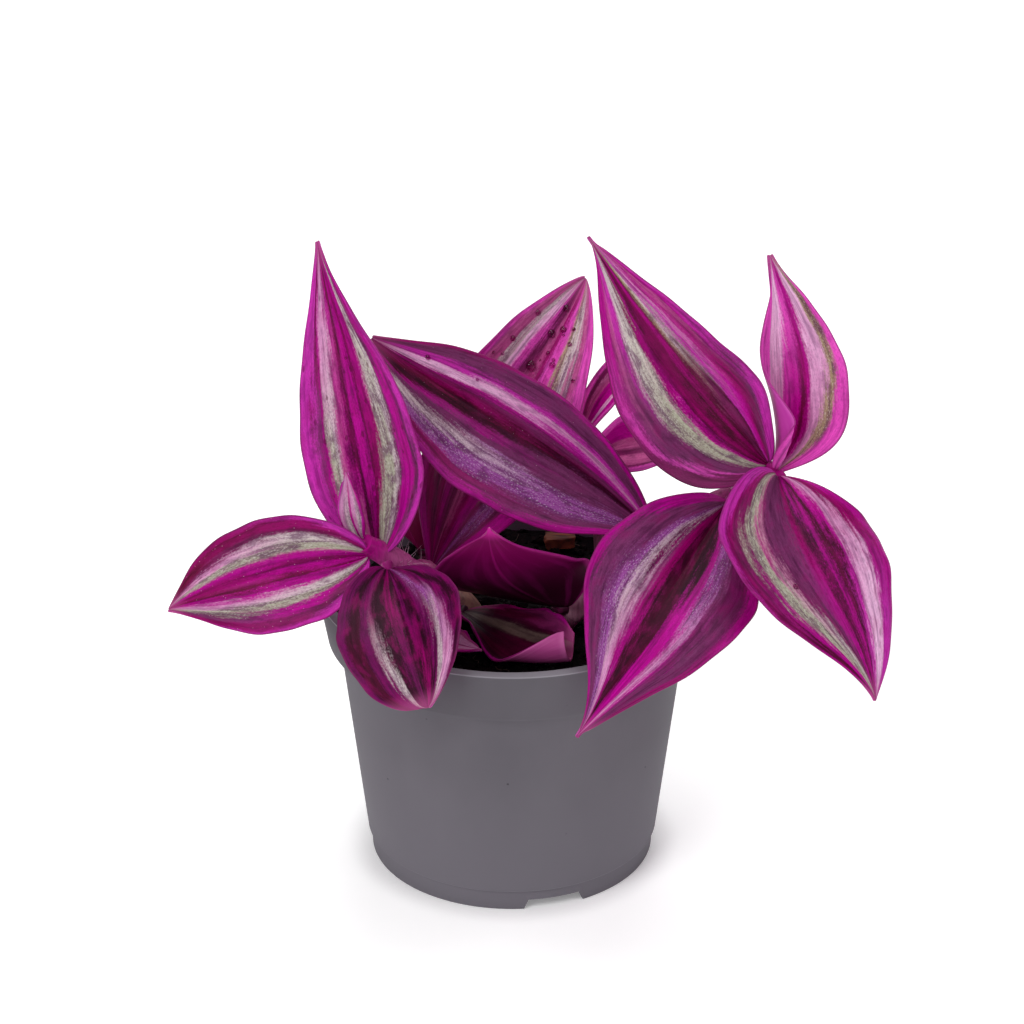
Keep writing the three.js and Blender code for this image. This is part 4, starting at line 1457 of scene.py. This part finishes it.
def stalkRoute(leaf, stemName):  # starts inside the stem, and ends under the blade
    base = Vector(leaf["base"])
    line = stemLines[stemName]
    nearest = min(range(len(line)), key=lambda i: (line[i] - base).length)
    root = line[nearest]
    down = line[max(nearest - 5, 0)] - line[max(nearest - 4, 0)]
    below = root + down.normalized() * stalkLook["back"]
    inside = leafPoint(leaf, stalkLook["endAlong"], 0)
    ahead = (inside - base).normalized()
    face = Vector(leaf["face"])
    under = (ahead * face.dot(ahead) - face).normalized()
    corners = [below, root.lerp(base, 0.3), base + under * stalkLook["sink"][0],
               inside + under * stalkLook["sink"][1]]
    slender = leaf["width"] < leafLook["smallWidth"] or stemName in stalkLook["slenderStems"]
    scale = stalkLook["slender"] if slender else 1
    route = []
    for i, point in enumerate(evenly(catmullRom(corners, 8), stalkLook["steps"])[0]):
        along = i / stalkLook["steps"] * 3
        k = min(int(along), 2)
        thick = mixed(stalkLook["radii"][k], stalkLook["radii"][k + 1], along - k) * scale
        route.append((spot(point), thick * mm))
    return route


def addStalks():
    routes = [stalkRoute(leaves[name], stemName) for name, stemName in stalks.items()]
    piece = tubes("leafStalks", routes, 4)
    addModifier(piece, "REMESH", mode="VOXEL", voxel_size=stalkLook["voxel"] * mm, use_smooth_shade=True)
    addModifier(piece, "SMOOTH", factor=0.5, iterations=stalkLook["smoothing"])
    applyModifiers(piece)
    settle(piece, jointMaterial())


addStalks()
print("stalks ready")

# Fine white hairs on the edges of the sheaths

hairs = {
    "length": (1.2, 3.4),
    "thickness": (0.035, 0.012),
    "droop": 0.35,
    "start": 1.5,
    "spread": 3,  # in steps along the stem
    "lean": (-0.2, 1.1),
    "steps": 4,
    "colour": srgb(226, 214, 222),
    "tufts": [  # stem, share of its length, number of hairs
        ("stem_left", 0.8, 50), ("stem_right", 0.4, 22), ("stem_right", 0.6, 22), ("stem_right", 0.86, 26),
        ("stem_back", 0.9, 14), ("stem_left", 0.6, 22),
    ],
    "seed": 21,
}


def addHairs():
    draw = random.Random(hairs["seed"])
    routes = []
    for stemName, share, count in hairs["tufts"]:
        line = stemLines[stemName]
        middle = int(share * (len(line) - 1))
        for _ in range(count):
            k = max(1, min(len(line) - 2, middle + draw.randint(-hairs["spread"], hairs["spread"])))
            along = (line[k + 1] - line[k - 1]).normalized()
            aside = along.orthogonal().normalized()
            aside.rotate(Matrix.Rotation(draw.uniform(0, 2 * math.pi), 3, along))
            start = line[k] + aside * hairs["start"]
            heading = (aside + along * draw.uniform(*hairs["lean"])).normalized()
            length = draw.uniform(*hairs["length"])
            bend = Vector((draw.uniform(-1, 1), draw.uniform(-1, 1), draw.uniform(-1, 0.4))) * hairs["droop"]
            route = []
            for step in range(hairs["steps"] + 1):
                part = step / hairs["steps"]
                place = start + heading * length * part + bend * length * part * part * 0.5
                route.append((spot(place), mixed(*hairs["thickness"], part) * mm))
            routes.append(route)
    material = newMaterial("sheathHair")
    patches = noiseOf(placeIn(material), grain["hair"])
    tone = mixColour(patches, stemLook["paleColour"], hairs["colour"])
    finished(material, {"Base Color": tone, "Roughness": 0.5})
    settle(tubes("sheathHairs", routes, 0), material)


addHairs()
print("hairs ready")

# Water drops on the upper leaves

drops = {
    "flatness": 0.75,
    "rise": 0.1,
    "places": {  # place along the leaf, place across it, width
        "leaf_centre_back": [
            (0.68, -0.07, 1.7), (0.795, -0.08, 1.35), (0.825, 0.13, 1.05), (0.71, -0.69, 0.95),
            (0.82, -0.69, 0.9), (0.715, 0.26, 1.0), (0.73, 0.24, 0.6), (0.885, -0.13, 1.1),
            (0.84, 0.39, 0.7), (0.795, 0.42, 0.75), (0.74, 0.08, 0.6), (0.705, 0.72, 0.6),
            (0.64, -0.8, 0.5), (0.655, -0.64, 0.6), (0.81, 0.2, 0.45), (0.71, 0.02, 0.4),
        ],
        "leaf_centre_long": [(0.82, 0.52, 0.9), (0.66, 0.5, 0.5)],
        "leaf_right_low": [(0.485, 0.42, 0.9)],
        "leaf_left_tall": [(0.62, 0.05, 0.5)],
    },
    "roughness": 0.02,
    # painted shade: the clear water is tinted dark wine so the drops look darker than the leaf
    "colour": (0.55, 0.2, 0.42, 1),
}


def addDrop(shape, leaf, t, u, width):
    middle = leafPoint(leaf, t, u)
    along = (leafPoint(leaf, t + 0.01, u) - middle).normalized()
    across = leafPoint(leaf, t, u + 0.02) - middle
    normal = across.cross(along).normalized()
    turn = Matrix((along, normal.cross(along), normal)).transposed().to_4x4()
    squash = Matrix.Diagonal((1, 1, drops["flatness"], 1))
    place = Matrix.Translation(spot(middle + normal * width * drops["rise"]))
    bmesh.ops.create_icosphere(shape, subdivisions=3, radius=width / 2 * mm, matrix=place @ turn @ squash)


def addDrops():
    def build(shape):
        for name, places in drops["places"].items():
            for t, u, width in places:
                addDrop(shape, leaves[name], t, u, width)

    piece = meshPiece("waterDrops", build)
    smoothFaces(piece)
    piece.data.materials.append(finished(newMaterial("water"), {
        "Base Color": drops["colour"],
        "Roughness": drops["roughness"],
        "IOR": 1.33,
        "Transmission Weight": 1,
    }))
    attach(piece, "root")


addDrops()
print("drops ready")
